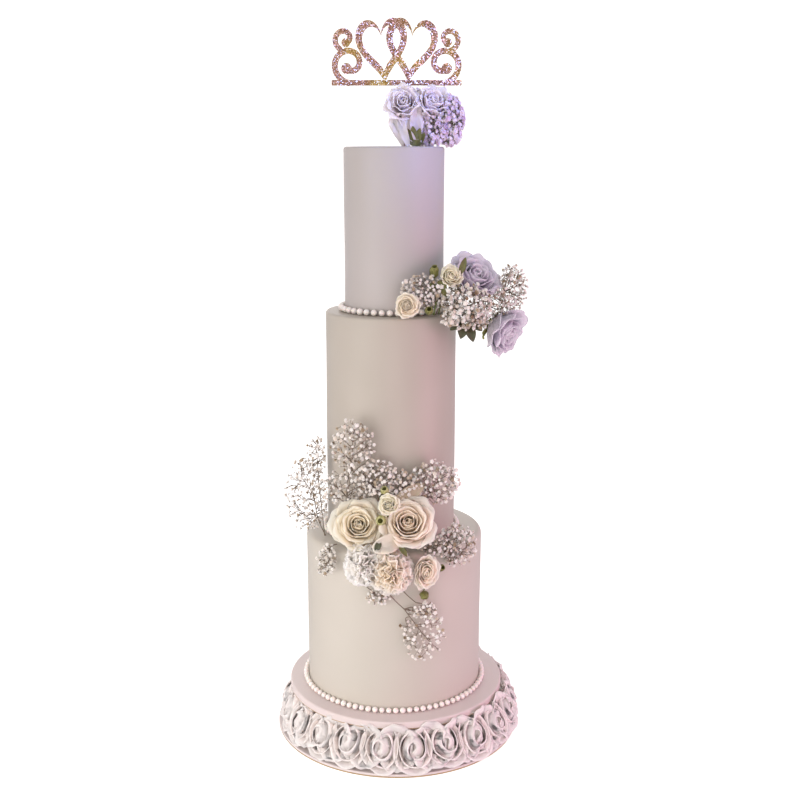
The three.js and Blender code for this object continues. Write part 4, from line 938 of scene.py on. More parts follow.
class Skeleton:
    """Points in millimetres in the stack's frame, joined by edges. Each may bear a flower."""

    def __init__(self):
        self.points, self.edges, self.thick, self.flower, self.facing = [], [], [], [], []

    def add(self, point, thick, parent=None, flower=0.0, facing=(0, 0, 1)):
        """Adds a point, with an edge from its parent if it has one, and gives its number."""
        self.points.append(Vector(point))
        self.thick.append(thick)
        self.flower.append(flower)
        self.facing.append(tuple(facing))
        if parent is not None:
            self.edges.append((parent, len(self.points) - 1))
        return len(self.points) - 1

    def run(self, parent, end, thick, bow, steps, flower=0.0, facing=(0, 0, 1)):
        """Adds a bowed twig from a point that exists to a new one, and gives the numbers of its points."""
        start, end = self.points[parent], Vector(end)
        first = self.thick[parent]
        line = [parent]
        for i in range(1, steps + 1):
            share = i / steps
            spot = start.lerp(end, share) + Vector(bow) * math.sin(math.pi * share)
            carried = flower if i == steps else 0.0
            line.append(self.add(spot, mix(first, thick, share), line[-1], carried, facing))
        return line

    def side_start(self, line, target):
        """The point of a line at which a side twig leaves it to reach a target at a good angle."""
        first = self.points[line[0]]
        axis = (self.points[line[-1]] - first).normalized()
        gap = Vector(target) - first
        ahead = gap.dot(axis)
        wanted = ahead - (gap - axis * ahead).length * 0.8
        return min(line, key=lambda number: abs((self.points[number] - first).dot(axis) - wanted))

    def mesh(self, name):
        """The points and edges as a mesh in metres, with what the tree of twigs reads on its points."""
        mesh = bpy.data.meshes.new(name)
        mesh.from_pydata([(p + Vector((STACK_X, 0, 0))) * MM for p in self.points], self.edges, [])
        for label, values in (("thick", self.thick), ("flower", self.flower)):
            marks = mesh.attributes.new(label, "FLOAT", "POINT").data
            marks.foreach_set("value", [value * MM for value in values])
        facings = [value for facing in self.facing for value in facing]
        mesh.attributes.new("facing", "FLOAT_VECTOR", "POINT").data.foreach_set("vector", facings)
        return mesh


# The tree makes a tube along every edge and sets a flower, which brings its own materials, on every point
# that carries one.
twig_tree, twig_value, twig_out = new_tree("twigs_and_flowers", {
    "Flower": "Object", "Least size": "Float", "Twig": "Material", "Sides": "Int", "Seed": "Int"})
thickness = add_node(twig_tree, "GeometryNodeInputNamedAttribute", {"data_type": "FLOAT"}, {"Name": "thick"})
flower_width = add_node(twig_tree, "GeometryNodeInputNamedAttribute", {"data_type": "FLOAT"}, {
    "Name": "flower"})
flower_way = add_node(twig_tree, "GeometryNodeInputNamedAttribute", {"data_type": "FLOAT_VECTOR"}, {
    "Name": "facing"})
lines = add_node(twig_tree, "GeometryNodeMeshToCurve", {}, {"Mesh": twig_value["Geometry"]})
thick_lines = add_node(twig_tree, "GeometryNodeSetCurveRadius", {}, {"Curve": lines, "Radius": thickness})
round_section = add_node(twig_tree, "GeometryNodeCurvePrimitiveCircle", {}, {
    "Resolution": twig_value["Sides"], "Radius": 1.0})
tubes = add_node(twig_tree, "GeometryNodeCurveToMesh", {}, {
    "Curve": thick_lines, "Profile Curve": round_section, "Fill Caps": True, "Scale": thickness})
smooth_tubes = add_node(twig_tree, "GeometryNodeSetShadeSmooth", {}, {"Geometry": tubes})
green_tubes = add_node(twig_tree, "GeometryNodeSetMaterial", {}, {
    "Geometry": smooth_tubes, "Material": twig_value["Twig"]})
carries = add_node(twig_tree, "FunctionNodeCompare", {"data_type": "FLOAT", "operation": "GREATER_THAN"}, {
    0: flower_width, 1: 0.1 * MM})
faces_out = add_node(twig_tree, "FunctionNodeAlignRotationToVector", {"axis": "Z"}, {"Vector": flower_way})
any_spin = add_node(twig_tree, "FunctionNodeRandomValue", {"data_type": "FLOAT"}, {
    2: 0.0, 3: 6.28, "Seed": twig_value["Seed"]})
spin_vector = add_node(twig_tree, "ShaderNodeCombineXYZ", {}, {"Z": any_spin.outputs[1]})
spin_turn = add_node(twig_tree, "FunctionNodeEulerToRotation", {}, {"Euler": spin_vector})
spun = add_node(twig_tree, "FunctionNodeRotateRotation", {"rotation_space": "LOCAL"}, {
    "Rotation": faces_out, "Rotate By": spin_turn})
any_share = add_node(twig_tree, "FunctionNodeRandomValue", {"data_type": "FLOAT"}, {
    2: twig_value["Least size"], 3: 1.0, "Seed": twig_value["Seed"]})
flower_size = add_node(twig_tree, "ShaderNodeMath", {"operation": "MULTIPLY"}, {
    0: any_share.outputs[1], 1: flower_width})
flower_shape = add_node(twig_tree, "GeometryNodeObjectInfo", {}, {"Object": twig_value["Flower"]})
set_flowers = add_node(twig_tree, "GeometryNodeInstanceOnPoints", {}, {
    "Points": twig_value["Geometry"], "Selection": carries, "Instance": flower_shape.outputs["Geometry"],
    "Rotation": spun, "Scale": flower_size})
any_shade = add_node(twig_tree, "FunctionNodeRandomValue", {"data_type": "FLOAT"}, {
    2: 0.0, 3: 1.0, "Seed": twig_value["Seed"]})
each_flower = {"data_type": "FLOAT", "domain": "INSTANCE"}
shaded = add_node(twig_tree, "GeometryNodeStoreNamedAttribute", each_flower, {
    "Geometry": set_flowers, "Name": "shade", "Value": any_shade.outputs[1]})
real_flowers = add_node(twig_tree, "GeometryNodeRealizeInstances", {}, {"Geometry": shaded})
spray_parts = add_node(twig_tree, "GeometryNodeJoinGeometry", {}, {"Geometry": real_flowers})
connect(twig_tree, spray_parts, {0: green_tubes})
connect(twig_tree, twig_out, {0: spray_parts})


def plant_green(name, colours, roughness, streak):
    """Green plant skin: two greens in streaks of one length in millimetres, with a faintly waxy surface."""
    material, tree, shader, where = new_material(name, roughness)
    streaks = add_node(tree, "ShaderNodeTexNoise", {}, {
        "Vector": where, "Scale": 1 / (streak * MM), "Detail": 3.0})
    tone = add_node(tree, "ShaderNodeMix", {"data_type": "RGBA"}, {
        0: streaks, 6: linear(colours[0]), 7: linear(colours[1])})
    relief = add_node(tree, "ShaderNodeBump", {}, {"Height": streaks, "Strength": 0.3, "Distance": 0.3 * MM})
    connect(tree, shader, {
        "Base Color": tone.outputs[2], "Normal": relief, "Subsurface Weight": 0.1,
        "Subsurface Scale": 2 * MM})
    return material


stem_green = plant_green("rose_stem_green", ("#7f8a4e", "#5c6a38"), 0.5, 6.25)
sepal_green = plant_green("rose_sepal_green", ("#a3a763", "#7d8748"), 0.5, 5)
heads = {node: row[3:8] for node, row in ROSES.items()} | {node: row[2:7] for node, row in CARNATIONS.items()}
for node, (place, bearing, tilt, roll, size) in heads.items():
    rng = np.random.default_rng(len(node) + size[0])
    matrix = head_matrix(place, bearing, tilt, roll)
    sheets = []
    for i in range(SEPALS["count"]):
        spin = i * 2 * math.pi / SEPALS["count"] + rng.uniform(-SEPALS["turn_varies"], SEPALS["turn_varies"])
        sheets.append(petal_sheet(SEPAL, 1.0, spin, rng))
    sepal_size = [measure * share for measure, share in zip(size, SEPALS["shares"])]
    sepal_place = matrix @ Matrix.Translation((0, 0, -SEPALS["behind"] * MM))
    sepals = sheet_piece("sepals_" + node, sheets, sepal_size, sepal_place, sepal_green, SEPALS["thickness"])
    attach(sepals, "root")
    skeleton = Skeleton()
    behind = Vector(place)
    facing = matrix.to_3x3() @ Vector((0, 0, 1))
    handle = behind - facing * STEM["straight"]
    foot_point = anchored(*ANCHORS[node])
    start = skeleton.add(behind + facing * STEM["into_head"], STEM["radius"] * STEM["collar"])
    for i in range(1, STEM["steps"] + 1):
        share = i / STEM["steps"]
        spot = behind.lerp(handle, share).lerp(handle.lerp(foot_point, share), share)
        start = skeleton.add(spot, STEM["radius"], start)
    values = {"Twig": stem_green, "Sides": STEM["sides"], "Least size": 1.0}
    stem = grown_from("stem_" + node, twig_tree, values, skeleton.mesh("stem"))
    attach(stem, "root")


# ---------------------------------------------------------------- leaves and loose petals
# Dark rose leaves hang from the middle group on one forked stalk. Long petals droop in the top group, and
# single petals and leaves are tucked between the heads, where they hide the stems.

LEAF = {"across": 9, "along": 17, "fold": 0.14, "mark": 0.8}
STALK_SIDES = 6
FOLIAGE = {
    "root": ("ledge_middle", 54, 100), "fork": (106, -80, 700), "thick": (1.4, 1.1, 0.7), "bow": (2, -3, 5),
    "steps": (6, 2), "heel": 0.25, "leaf_bow": 3, "normal": (0.3, -1, 0.4), "thickness": 0.45,
    "leaves": (((100, -100, 670), 18), ((120, -92, 664), 17), ((84, -106, 684), 15), ((134, -84, 680), 16))}


def leaf_sheet(start, end, width, bow, normal, seed, wave=0.04, pointed=1.0):
    """A leaf or hanging petal from one point to another: bowed, folded along its middle, with a wavy rim."""
    rng = np.random.default_rng(seed)
    side = np.linspace(-1, 1, LEAF["across"])[None, :, None]
    rise = np.linspace(0, 1, LEAF["along"])[:, None, None]
    start, end = np.array(start, float), np.array(end, float)
    along_line = end - start
    axis = along_line / np.linalg.norm(along_line)
    out = np.array(normal, float)
    out -= axis * out.dot(axis)
    out /= np.linalg.norm(out)
    sideways = np.cross(axis, out)
    tapered = np.sin(math.pi * rise ** 0.8) ** 0.7
    blunt = np.sin(math.pi * (0.12 + 0.8 * rise)) ** 0.6
    swell = mix(blunt, tapered, pointed)
    ripple = wave * width * np.sin(rise * 9 + 2 * side + rng.uniform(0, 6)) * np.abs(side)
    fold = width * LEAF["fold"] * np.abs(side) ** 1.5 * swell
    lift = bow * np.sin(math.pi * rise) + fold + ripple
    points = start + along_line * rise + sideways * side * swell * width / 2 + out * lift
    return sheet_of(points, side, rise, LEAF["mark"])


def loose_sheets(name, sheets, material, thickness):
    """Sheets given in the stack's frame, joined as they lie and given a thickness."""
    points = np.concatenate([sheet[0] for sheet in sheets])
    low, high = points.min(0), points.max(0)
    middle = Vector(((low[0] + high[0]) / 2 + STACK_X, (low[1] + high[1]) / 2, low[2])) * MM
    return sheet_piece(name, sheets, high - low, Matrix.Translation(middle), material, thickness)


leaf_green = plant_green("rose_leaf_green", ("#565a3c", "#363d28"), 0.42, 4.54545)
foliage = Skeleton()
root_thick, fork_thick, leaf_thick = FOLIAGE["thick"]
fork_steps, heel_steps = FOLIAGE["steps"]
root_point = foliage.add(anchored(*FOLIAGE["root"]), root_thick)
fork = foliage.run(root_point, FOLIAGE["fork"], fork_thick, FOLIAGE["bow"], fork_steps)[-1]
leaves = []
for seed, (tip_point, width) in enumerate(FOLIAGE["leaves"]):
    heel = foliage.points[fork].lerp(Vector(tip_point), FOLIAGE["heel"])
    foliage.run(fork, heel, leaf_thick, (0, 0, 0), heel_steps)
    leaves.append(leaf_sheet(heel, tip_point, width, FOLIAGE["leaf_bow"], FOLIAGE["normal"], seed))
leaf_piece = loose_sheets("rose_leaves_middle", leaves, leaf_green, FOLIAGE["thickness"])
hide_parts("middle_foliage")
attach(leaf_piece, "root")
stalk_values = {"Twig": stem_green, "Sides": STALK_SIDES, "Least size": 1.0}
leaf_stalks = grown_from("leaf_stalks_middle", twig_tree, stalk_values, foliage.mesh("stalks"))
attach(leaf_stalks, "root")

# In the top group three thin petals droop from the left head, and three long ones stand in an olive calyx.
# Each row: start, end, width, bow, and how pointed.
LOOSE_THICKNESS = 0.4
TOP_WAVE = 0.13
TOP_PETALS = (
    ((3, -38, 1001), (14, -44, 954), 15, 5, 0.4),
    ((9, -40, 998), (22, -50, 953), 14, 5, 0.4),
    ((0, -34, 1004), (6, -40, 966), 15, 6, 0.4),
    ((30, -48, 961), (18, -42, 1012), 21, -6, 0.2),
    ((33, -50, 963), (36, -44, 1018), 20, -6, 0.2),
    ((36, -46, 961), (51, -38, 1007), 21, -6, 0.2))
TOP_MIDDLE = 22
CALYX = (
    ((30, -48, 954), (19, -50, 980), 12),
    ((30, -50, 954), (28, -54, 983), 13),
    ((31, -50, 954), (39, -53, 980), 12),
    ((32, -47, 954), (46, -48, 973), 12))
CALYX_BOW = -3

sheets = []
for seed, (start, end, width, bow, pointed) in enumerate(TOP_PETALS):
    normal = (start[0] - TOP_MIDDLE, -40, 10)
    sheets.append(leaf_sheet(start, end, width, bow, normal, seed + 20, TOP_WAVE, pointed))
drooping = loose_sheets("drooping_petals_top", sheets, lilac, LOOSE_THICKNESS)
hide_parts("top_petals")
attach(drooping, "root")
olive_green = plant_green("calyx_olive_green", ("#78783f", "#474a2a"), 0.5, 6.66667)
sheets = []
for seed, (start, end, width) in enumerate(CALYX):
    sheets.append(leaf_sheet(start, end, width, CALYX_BOW, (0, -1, 0.2), seed))
calyx = loose_sheets("calyx_top", sheets, olive_green, LOOSE_THICKNESS)
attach(calyx, "root")

# Single petals and leaves between the heads, in rows as above.
# A flat grey-beige sheet shaped like a leaf lies above the right-hand front rose.
grey_beige = plant_green("grey_beige_leaf", ("#c4b5a2", "#a5947e"), 0.55, 8.33333)
LOOSE = {
    "loose_petals_front": (blush, "white_rose", (
        ((10, -164, 376), (-32, -176, 363), 28, 5, 0.15),
        ((3, -166, 362), (-24, -178, 348), 24, 4, 0.15))),
    "loose_leaves_front": (leaf_green, "leaf", (
        ((-21, -174, 376), (-28, -176, 360), 10, 2, 1.0),
        ((-9, -148, 442), (-23, -150, 433), 11, 2, 1.0))),
    "olive_leaves_front": (olive_green, "leaf", (
        ((8, -172, 368), (20, -176, 352), 8, 2, 1.0),
        ((-3, -172, 369), (-12, -178, 354), 8, 2, 1.0))),
    "pale_leaf_front": (grey_beige, "leaf", (
        ((3, -126, 420), (47, -120, 449), 24, 3, 0.8),)),
    "loose_leaves_middle": (olive_green, "leaf", (
        ((99, -90, 767), (107, -90, 792), 10, 2, 1.0),
        ((66, -96, 758), (79, -98, 733), 13, 2, 1.0),
        ((63, -94, 752), (51, -96, 744), 12, 2, 1.0)))}
LOOSE_WAVE = 0.05
LOOSE_NORMAL = (0.1, -1, 0.35)
for name, (material, slot, rows) in LOOSE.items():
    sheets = []
    for seed, (start, end, width, bow, pointed) in enumerate(rows):
        sheets.append(leaf_sheet(start, end, width, bow, LOOSE_NORMAL, seed + 50, LOOSE_WAVE, pointed))
    loose = loose_sheets(name, sheets, material, LOOSE_THICKNESS)
    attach(loose, "root")


# ---------------------------------------------------------------- buds
# Closed buds and round seed pods on short forked stalks, pushed into the ledges and the wall. Five petals
# close over each, held by five sepals. The two at the middle of the front are pale, and the others olive.

BUD_PETAL = {
    "lengths": (1.0, 1.05), "halves": (0.6, 0.7), "rounding": 0.2, "base": 62, "mid": -12, "roll": -22,
    "wave": 0.01, "edge": 0.0}
BUD_SEPAL = {
    "lengths": (0.95, 0.95), "halves": (0.42, 0.42), "rounding": 0.5, "base": 74, "mid": -6, "roll": -14,
    "wave": 0.02, "edge": 0.0}
BUD = {"petals": 5, "thickness": 0.4, "heart_mark": 0.25, "seed": 40}
BUD_STALK = {
    "root": 1.3, "fork": 1.1, "heel": 0.9, "bow": (0, -2, 3), "heel_bow": (0, -3, 1), "steps": (5, 6)}
bud_skin = petal_material("bud_cream_and_green", "#d0cd96", "#a3a561", "#a5a558", 0.5, 20.0, 0.3)
pod_skin = petal_material("seed_pod_olive", "#8a8848", "#67662f", "#717036", 0.5, 20.0, 0.1)
# node: skin, root, fork, then each bud's middle, bearing, tilt, width and height.
BUDS = {
    "middle_buds": (pod_skin, ("ledge_middle", 40, 94), (66, -84, 728), (
        ((60, -88, 770), 4, 62, 14, 21), ((52, -108, 714), 0, 30, 13, 14))),
    "front_buds_middle": (bud_skin, ("ledge_bottom", -8, 112), (-13, -118, 372), (
        ((-14, -146, 446), -6, 48, 13, 15), ((-20, -166, 406), -8, 10, 16, 15))),
    "front_buds_right": (pod_skin, ("wall_bottom", 25, 305), (62, -135, 306), (
        ((72, -148, 324), 30, 24, 11, 12), ((46, -149, 280), 17, -50, 14, 13)))}
for node, (skin, root, fork_spot, buds) in BUDS.items():
    stalk = Skeleton()
    root_point = stalk.add(anchored(*root), BUD_STALK["root"])
    fork = stalk.run(root_point, fork_spot, BUD_STALK["fork"], BUD_STALK["bow"], BUD_STALK["steps"][0])[-1]
    for number, (spot, bearing, tilt, width, height) in enumerate(buds):
        rng = np.random.default_rng(BUD["seed"] + number)
        place = head_matrix(spot, bearing, tilt, 0) @ Matrix.Translation((0, 0, -height / 2 * MM))
        heel = place.translation / MM - Vector((STACK_X, 0, 0))
        stalk.run(fork, heel, BUD_STALK["heel"], BUD_STALK["heel_bow"], BUD_STALK["steps"][1])
        sheets = []
        for i in range(BUD["petals"]):
            sheet = petal_sheet(BUD_PETAL, 1.0, i * GOLDEN_ANGLE, rng)
            sheet[2]["age"][:] = BUD["heart_mark"]
            sheets.append(sheet)
        for i in range(BUD["petals"]):
            sheets.append(petal_sheet(BUD_SEPAL, 1.0, i * 2 * math.pi / BUD["petals"], rng))
        size = (width, width, height)
        bud = sheet_piece("%s_%d" % (node, number + 1), sheets, size, place, skin, BUD["thickness"])
        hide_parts(node)
        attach(bud, "root")
    stalks = grown_from("stalks_" + node, twig_tree, stalk_values, stalk.mesh("stalks"))
    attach(stalks, "root")


# ---------------------------------------------------------------- gypsophila
# Sprays of gypsophila: stems that fork again and again into hair-thin twigs, each with a tiny double white
# flower on a green cup. Most are 4 to 8 mm across, and a few have dried to brown. The lilac ones on the top
# are larger.

# A ring of petals: the radius and height of its tips, of the notches between, the height of its underside
# and of its middle, as shares of the flower's width, and its turn in degrees.
FLORET_LAYERS = (
    (0.5, 0.46, 0.39, 0.38, 0.1, 0.4, 0.0),
    (0.38, 0.62, 0.27, 0.52, 0.22, 0.52, 36.0),
    (0.2, 0.74, 0.13, 0.66, 0.4, 0.66, 10.0))
FLORET_CUP = (0.15, 0.2, 0.15, 0.2, 0.0, 0.3, 0.0, 3)
FLORET_SHARP = 60
# Each part of a spray: the radius at its end, how far it bows, and its number of steps.
SPRAY_PARTS = {
    "stem": (0.8, 2, 5), "spine": (0.55, 3, 9), "branch": (0.38, 2.5, 5), "fork": (0.312, 1.5, 4),
    "twig": (0.26, 0.8, 3)}
SPRAY = {
    "tries": 12, "per_branch": 11, "per_fork": 3.4, "crown": 0.45, "crown_out": 0.2, "rounds": 8,
    "facing": (0.6, 0.9, 0.35), "sizes": (0.7, 1.15), "least_size": 0.65, "sides": 5, "inset": 0.4}
CLEARANCE = 3.5
CRINKLE = 1.11111


def lobed(radius, top, notch, notch_top, low, middle, turn, lobes=5):
    """A closed shallow cup with a lobed rim, a unit across: one ring of petals in one piece."""
    points = [(0, 0, low), (0, 0, middle)]
    for i in range(lobes * 2):
        angle = math.radians(turn) + i * math.pi / lobes
        reach, level = (radius, top) if i % 2 == 0 else (notch, notch_top)
        points.append((reach * math.cos(angle), reach * math.sin(angle), level))
    faces = []
    for i in range(lobes * 2):
        a, b = 2 + i, 2 + (i + 1) % (lobes * 2)
        faces += [(0, b, a), (1, a, b)]
    return points, faces


def small_flower(name, petals, cup):
    """A double flower of three rings of petals on a green cup, a unit across, as a pattern for the tree."""
    points, faces, kinds = [], [], []
    parts = [(*lobed(*layer), 0) for layer in FLORET_LAYERS] + [(*lobed(*FLORET_CUP), 1)]
    for part_points, part_faces, kind in parts:
        faces += [tuple(corner + len(points) for corner in face) for face in part_faces]
        points += part_points
        kinds += [kind] * len(part_faces)
    return new_piece(name, points, faces, [petals, cup], kinds, sharp=FLORET_SHARP)


def tiny_petals(name, stops):
    """Petals too small to show veins: one shade for each flower, some dried, and crinkled all over."""
    material, tree, shader, where = new_material(name, 0.6)
    shade = add_node(tree, "ShaderNodeAttribute", {"attribute_name": "shade"}, {}).outputs["Fac"]
    tone = set_stops(add_node(tree, "ShaderNodeValToRGB", {}, {"Fac": shade}), stops)
    crinkle = add_node(tree, "ShaderNodeTexNoise", {}, {
        "Vector": where, "Scale": 1 / (CRINKLE * MM), "Detail": 1.0})
    creases = add_node(tree, "ShaderNodeBump", {}, {"Height": crinkle, "Strength": 0.6, "Distance": 0.6 * MM})
    connect(tree, shader, {
        "Base Color": tone, "Normal": creases, "Subsurface Weight": 0.6, "Subsurface Scale": 2 * MM,
        "Subsurface Radius": (1.0, 0.9, 0.8)})
    return material


floret_white = tiny_petals("gypsophila_petals_white", (
    (0.0, "#fdf9f4"), (0.6, "#f6eee7"), (0.85, "#e2d5c8"), (0.94, "#b9a78f"), (1.0, "#8f7b62")))
floret_lilac = tiny_petals("gypsophila_petals_lilac", (
    (0.0, "#fbeefb"), (0.6, "#f6e6f5"), (0.85, "#e9d3e8"), (0.95, "#d5bcd6"), (1.0, "#b8a2ae")))
floret_cup = plant_green("gypsophila_cup_green", ("#8b9270", "#6d7350"), 0.6, 2)
twig_brown = plant_green("gypsophila_twig_brown", ("#8d7d6c", "#5f5146"), 0.6, 5.55556)
floret = small_flower("floret_pattern", floret_white, floret_cup)
lilac_floret = small_flower("lilac_floret_pattern", floret_lilac, floret_cup)


def groups_of(points, count):
    """Puts points into groups of near neighbours: the group of each point, and the middle of each group."""
    centres = points[np.linspace(0, len(points) - 1, count).astype(int)]
    for _ in range(SPRAY["rounds"]):
        nearest = np.argmin(np.linalg.norm(points[:, None] - centres[None], axis=2), axis=1)
        groups = [points[nearest == k] for k in range(count)]
        centres = np.array([group.mean(0) if len(group) else old for group, old in zip(groups, centres)])
    return nearest, centres


def clear_of_cake(point):
    """The point, or the nearest place outside the cake if it lies in one of the tiers or too close to it."""
    x, y, z = point
    for tier in TIERS.values():
        centre = tier["x"] - STACK_X
        away = math.hypot(x - centre, y)
        side_gap = away - tier["radius"] - CLEARANCE
        top_gap = z - tier["base"] - tier["height"] - CLEARANCE
        if side_gap < 0 and top_gap < 0 and z > tier["base"]:
            if side_gap > top_gap:
                grow = (tier["radius"] + CLEARANCE) / away
                x, y = centre + (x - centre) * grow, y * grow
            else:
                z = tier["base"] + tier["height"] + CLEARANCE
    return np.array([x, y, z])


def spread_tips(middle, reach, count, hollow, rng):
    """Flower places spread evenly through an egg-shaped space, few in its hollow middle and none in the cake.

    Each is the one of a dozen random places that lies farthest from those already taken.
    """
    tips = []
    for _ in range(count):
        tries = rng.normal(size=(SPRAY["tries"], 3))
        tries *= (rng.uniform(hollow, 1, (SPRAY["tries"], 1)) ** 0.5) / np.linalg.norm(tries, axis=1)[:, None]
        gaps = [min((np.linalg.norm(t - other) for other in tips), default=9) for t in tries]
        tips.append(tries[int(np.argmax(gaps))])
    return np.array([clear_of_cake(tip) for tip in np.array(middle) + np.array(tips) * np.array(reach)])


def grow_spray(skeleton, root, neck, middle, reach, count, size, hollow, rng):
    """Adds a spray that leaves its root, forks above its neck and ends in flowers, each on its own twig."""

    def grow(part, start, end, flower=0.0, facing=(0, 0, 1)):
        thick, bow, steps = SPRAY_PARTS[part]
        return skeleton.run(start, end, thick, rng.normal(size=3) * bow, steps, flower, facing)

    tips = spread_tips(middle, reach, count, hollow, rng)
    fork_of, forks = groups_of(tips, max(2, round(count / SPRAY["per_fork"])))
    branch_of, branches = groups_of(forks, max(2, round(count / SPRAY["per_branch"])))
    outward = np.array([root[0], root[1], 0.0])
    outward /= np.linalg.norm(outward)
    start = grow("stem", skeleton.add(root, SPRAY_PARTS["stem"][0]), neck)[-1]
    heading = np.array(middle) - np.array(neck)
    heading = heading / max(np.linalg.norm(heading), 1) + outward * SPRAY["crown_out"]
    spine = grow("spine", start, np.array(middle) + heading * np.array(reach) * SPRAY["crown"])
    ahead, away, loose = SPRAY["facing"]
    for b in range(len(branches)):
        if not (branch_of == b).any():
            continue
        branch = grow("branch", skeleton.side_start(spine, branches[b]), branches[b])
        for f in np.nonzero(branch_of == b)[0]:
            if not (fork_of == f).any():
                continue
            fork = grow("fork", skeleton.side_start(branch, forks[f]), forks[f])
            for tip in tips[fork_of == f]:
                leaves_fork = skeleton.side_start(fork[:-1], tip)
                along = (Vector(tip) - skeleton.points[leaves_fork]).normalized()
                facing = np.array(along) * ahead + outward * away + rng.normal(size=3) * loose
                flower = size * rng.uniform(*SPRAY["sizes"])
                grow("twig", leaves_fork, tip, flower, facing)


# node: flower, hollow, then each spray's root, neck, middle, reach, number of flowers and their greatest
# width.
SPRAYS = {
    "spray_upper_left": (floret, 0.35, (
        (("ledge_bottom", -44, 119), (-72, -114, 430), (-62, -118, 508), (36, 12, 46), 170, 7.5),
        (("ledge_bottom", -38, 118), (-74, -104, 400), (-70, -110, 440), (42, 16, 34), 150, 7.5))),
    "spray_upper_middle": (floret, 0.35, (
        (("ledge_bottom", -14, 118), (-24, -117, 424), (-24, -122, 460), (36, 14, 32), 160, 7.5),
        (("ledge_bottom", -4, 116), (8, -114, 415), (12, -118, 444), (30, 14, 30), 110, 7.5))),
    "spray_upper_right": (floret, 0.35, (
        (("ledge_bottom", 26, 114), (46, -112, 420), (62, -112, 450), (42, 18, 38), 210, 7.5),)),
    "spray_lower_right": (floret, 0.35, (
        (("ledge_bottom", 37, 128), (84, -112, 358), (96, -122, 352), (34, 24, 38), 190, 7.0),
        (("ledge_bottom", 20, 132), (48, -134, 352), (62, -136, 356), (30, 12, 18), 60, 7.0))),
    "spray_lower_left": (floret, 0.35, (
        (("ledge_bottom", -42, 134), (-100, -118, 344), (-104, -124, 328), (18, 14, 30), 70, 7.0),)),
    "spray_hanging": (floret, 0.35, (
        (("wall_bottom", -8, 296), (16, -152, 258), (46, -150, 220), (38, 8, 50), 120, 7.5),
        (("wall_bottom", 4, 290), (34, -150, 268), (52, -150, 256), (20, 6, 16), 28, 7.0),
        (("wall_bottom", -20, 304), (-34, -150, 288), (-24, -150, 276), (22, 7, 14), 40, 7.0))),
    "spray_left_back": (floret, 0.35, (
        (("ledge_bottom", -62, 124), (-124, -52, 378), (-138, -50, 412), (38, 22, 66), 210, 7.0),
        (("ledge_bottom", -62, 126), (-120, -52, 430), (-122, -52, 474), (18, 14, 36), 70, 7.0))),
    "middle_spray_left": (floret, 0.35, (
        (("ledge_middle", 34, 91), (48, -92, 722), (42, -94, 742), (36, 14, 28), 170, 7.5),)),
    "middle_spray_centre": (floret, 0.35, (
        (("ledge_middle", 45, 100), (92, -92, 716), (108, -98, 724), (42, 16, 34), 190, 9.0),
        (("ledge_middle", 56, 98), (98, -88, 702), (104, -100, 702), (38, 12, 22), 100, 9.0),
        (("ledge_middle", 40, 98), (72, -84, 722), (80, -80, 736), (34, 16, 28), 110, 7.5),
        (("ledge_middle", 60, 98), (108, -76, 700), (126, -78, 698), (22, 14, 20), 80, 8.0))),
    "middle_spray_right": (floret, 0.35, (
        (("ledge_middle", 84, 96), (150, -20, 722), (182, -34, 738), (26, 24, 42), 200, 7.5),
        (("ledge_middle", 76, 96), (140, -40, 716), (150, -56, 716), (30, 16, 30), 110, 7.5))),
    "top_spray": (lilac_floret, 0.7, (
        (("ledge_top", 110, 60), (74, -18, 964), (81, -20, 992.1), (27, 28, 41), 330, 12.0),
        (("ledge_top", 110, 34), (40, -8, 966), (42, -8, 984), (34, 14, 34), 120, 11.5),
        (("ledge_top", 100, 40), (52, -22, 962), (56, -34, 980), (26, 12, 28), 130, 11.5),
        (("ledge_top", 105, 36), (34, -8, 985), (34, -10, 1018), (13, 11, 24), 45, 10.5)))}
for number, (node, (flower, hollow, sprays)) in enumerate(SPRAYS.items()):
    rng = np.random.default_rng(900 + number)
    skeleton = Skeleton()
    for root, neck, middle, reach, count, size in sprays:
        reach = [measure - size * SPRAY["inset"] for measure in reach]
        grow_spray(skeleton, anchored(*root), neck, middle, reach, count, size, hollow, rng)
    spray = grown_from("gypsophila_" + node, twig_tree, {
        "Flower": flower, "Twig": twig_brown, "Sides": SPRAY["sides"], "Least size": SPRAY["least_size"],
        "Seed": number}, skeleton.mesh("twigs"))
    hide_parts(node)
    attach(spray, "root")
for pattern in (floret, lilac_floret):
    bpy.data.objects.remove(pattern)


# ---------------------------------------------------------------- stage, light and camera
# A pale seamless sweep all round. Soft warm light comes from the left front and a strong rose-tinted one
# from the right, with small lamps low down for the stand and a violet one at the top. The camera stands
# level with the top tier and looks down a little.

SWEEP = {"flat": 400.0, "radius": 9000, "cove": 2500, "wall": 9000, "arc_steps": 12, "steps": 96}
sweep_line = [(SWEEP["flat"], 0.0)]
for i in range(SWEEP["arc_steps"] + 1):
    angle = math.radians(90 * i / SWEEP["arc_steps"])
    in_from_wall, above_floor = SWEEP["cove"] * (1 - math.sin(angle)), SWEEP["cove"] * (1 - math.cos(angle))
    sweep_line.append((SWEEP["radius"] - in_from_wall, above_floor))
sweep_line.append((SWEEP["radius"], SWEEP["wall"]))
turns = [2 * math.pi * i / SWEEP["steps"] for i in range(SWEEP["steps"])]
sweep_points = [(r * math.cos(a) * MM, r * math.sin(a) * MM, z * MM) for r, z in sweep_line for a in turns]
sweep_faces = []
for i in range(SWEEP["steps"]):
    j = (i + 1) % SWEEP["steps"]
    sweep_faces.append((len(sweep_points), i, j))
    for ring in range(len(sweep_line) - 1):
        low, high = ring * SWEEP["steps"], (ring + 1) * SWEEP["steps"]
        sweep_faces.append((low + i, high + i, high + j, low + j))
sweep_points.append((0, 0, 0))
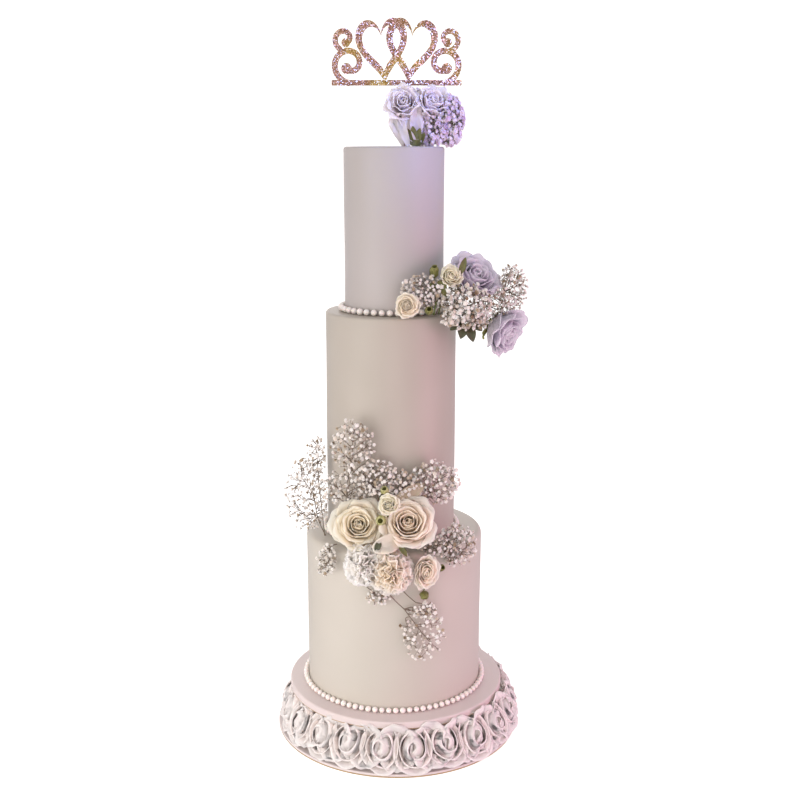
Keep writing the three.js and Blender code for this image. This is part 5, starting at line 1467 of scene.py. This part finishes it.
# Matt paper that glows a little, so that it stays pale and even far from the lamps.
paper, tree, shader, _ = new_material("pale_seamless_paper", 0.9)
connect(tree, shader, {
    "Base Color": linear("#bdbbba"), "Emission Color": linear("#fffdfb"), "Emission Strength": 0.87})
sweep = new_piece("seamless_sweep", sweep_points, sweep_faces, [paper])
sweep.visible_diffuse = False
sweep.visible_glossy = False

scene = bpy.context.scene
scene.view_settings.view_transform = "Standard"
world = bpy.data.worlds.new("pale_room")
world.use_nodes = True
connect(world.node_tree, world.node_tree.nodes["Background"], {"Color": linear("#f1eff2"), "Strength": 0.8})
scene.world = world

# name: place, aim, size, power in watts, colour, and the spread of its light in degrees.
LIGHTS = {
    "key_left": ((-1.9, -1.7, 1.1), (0, 0, 0.25), 1.6, 13.5, "#fff6ea", 180),
    "front": ((-0.3, -2.3, 1.1), (0, 0, 0.35), 0.8, 3.5, "#fff0e0", 180),
    "low_left": ((-0.9, -1.3, 0.3), (0, 0, 0.12), 0.7, 3.2, "#fffaf4", 180),
    "low_front": ((0.15, -1.5, 0.2), (0, 0, 0.03), 0.5, 2.2, "#fff1ee", 180),
    "left_edge": ((-0.95, -0.5, 0.15), (0, 0, 0.2), 0.5, 2.8, "#fff3f0", 180),
    "fill_right": ((2.0, -0.9, 0.35), (0, 0, 0.25), 1.3, 13, "#ff9dca", 180),
    "low_right": ((1.1, -0.5, 0.08), (0, 0, 0.14), 0.5, 2.0, "#ffa8d0", 180),
    "back_soft": ((-0.4, 2.6, 1.3), (0, 0, 0.5), 2.0, 16, "#fff4ee", 180),
    "top_violet": ((0.45, -0.5, 1.2), (0.03, 0, 1.0), 0.2, 0.15, "#84a2ff", 36)}
for name, (place, aim, size, power, colour, spread) in LIGHTS.items():
    lamp = bpy.data.lights.new(name, "AREA")
    lamp.energy = power
    lamp.size = size
    lamp.color = linear(colour)[:3]
    lamp.spread = math.radians(spread)
    holder = bpy.data.objects.new(name, lamp)
    holder.location = place
    holder.rotation_euler = (Vector(aim) - holder.location).to_track_quat("-Z", "Y").to_euler()
    holder.visible_camera = False
    bpy.context.collection.objects.link(holder)

CAMERA = {"place": (-0.005, -1.766, 0.9366), "down": 12.21, "lens": 50.34, "sensor": 36, "shift": 0.0075}
camera = bpy.data.objects.new("camera", bpy.data.cameras.new("camera"))
camera.location = CAMERA["place"]
camera.rotation_euler = (math.radians(90 - CAMERA["down"]), 0, 0)
camera.data.lens = CAMERA["lens"]
camera.data.sensor_width = CAMERA["sensor"]
camera.data.shift_x = CAMERA["shift"]
bpy.context.collection.objects.link(camera)
scene.camera = camera
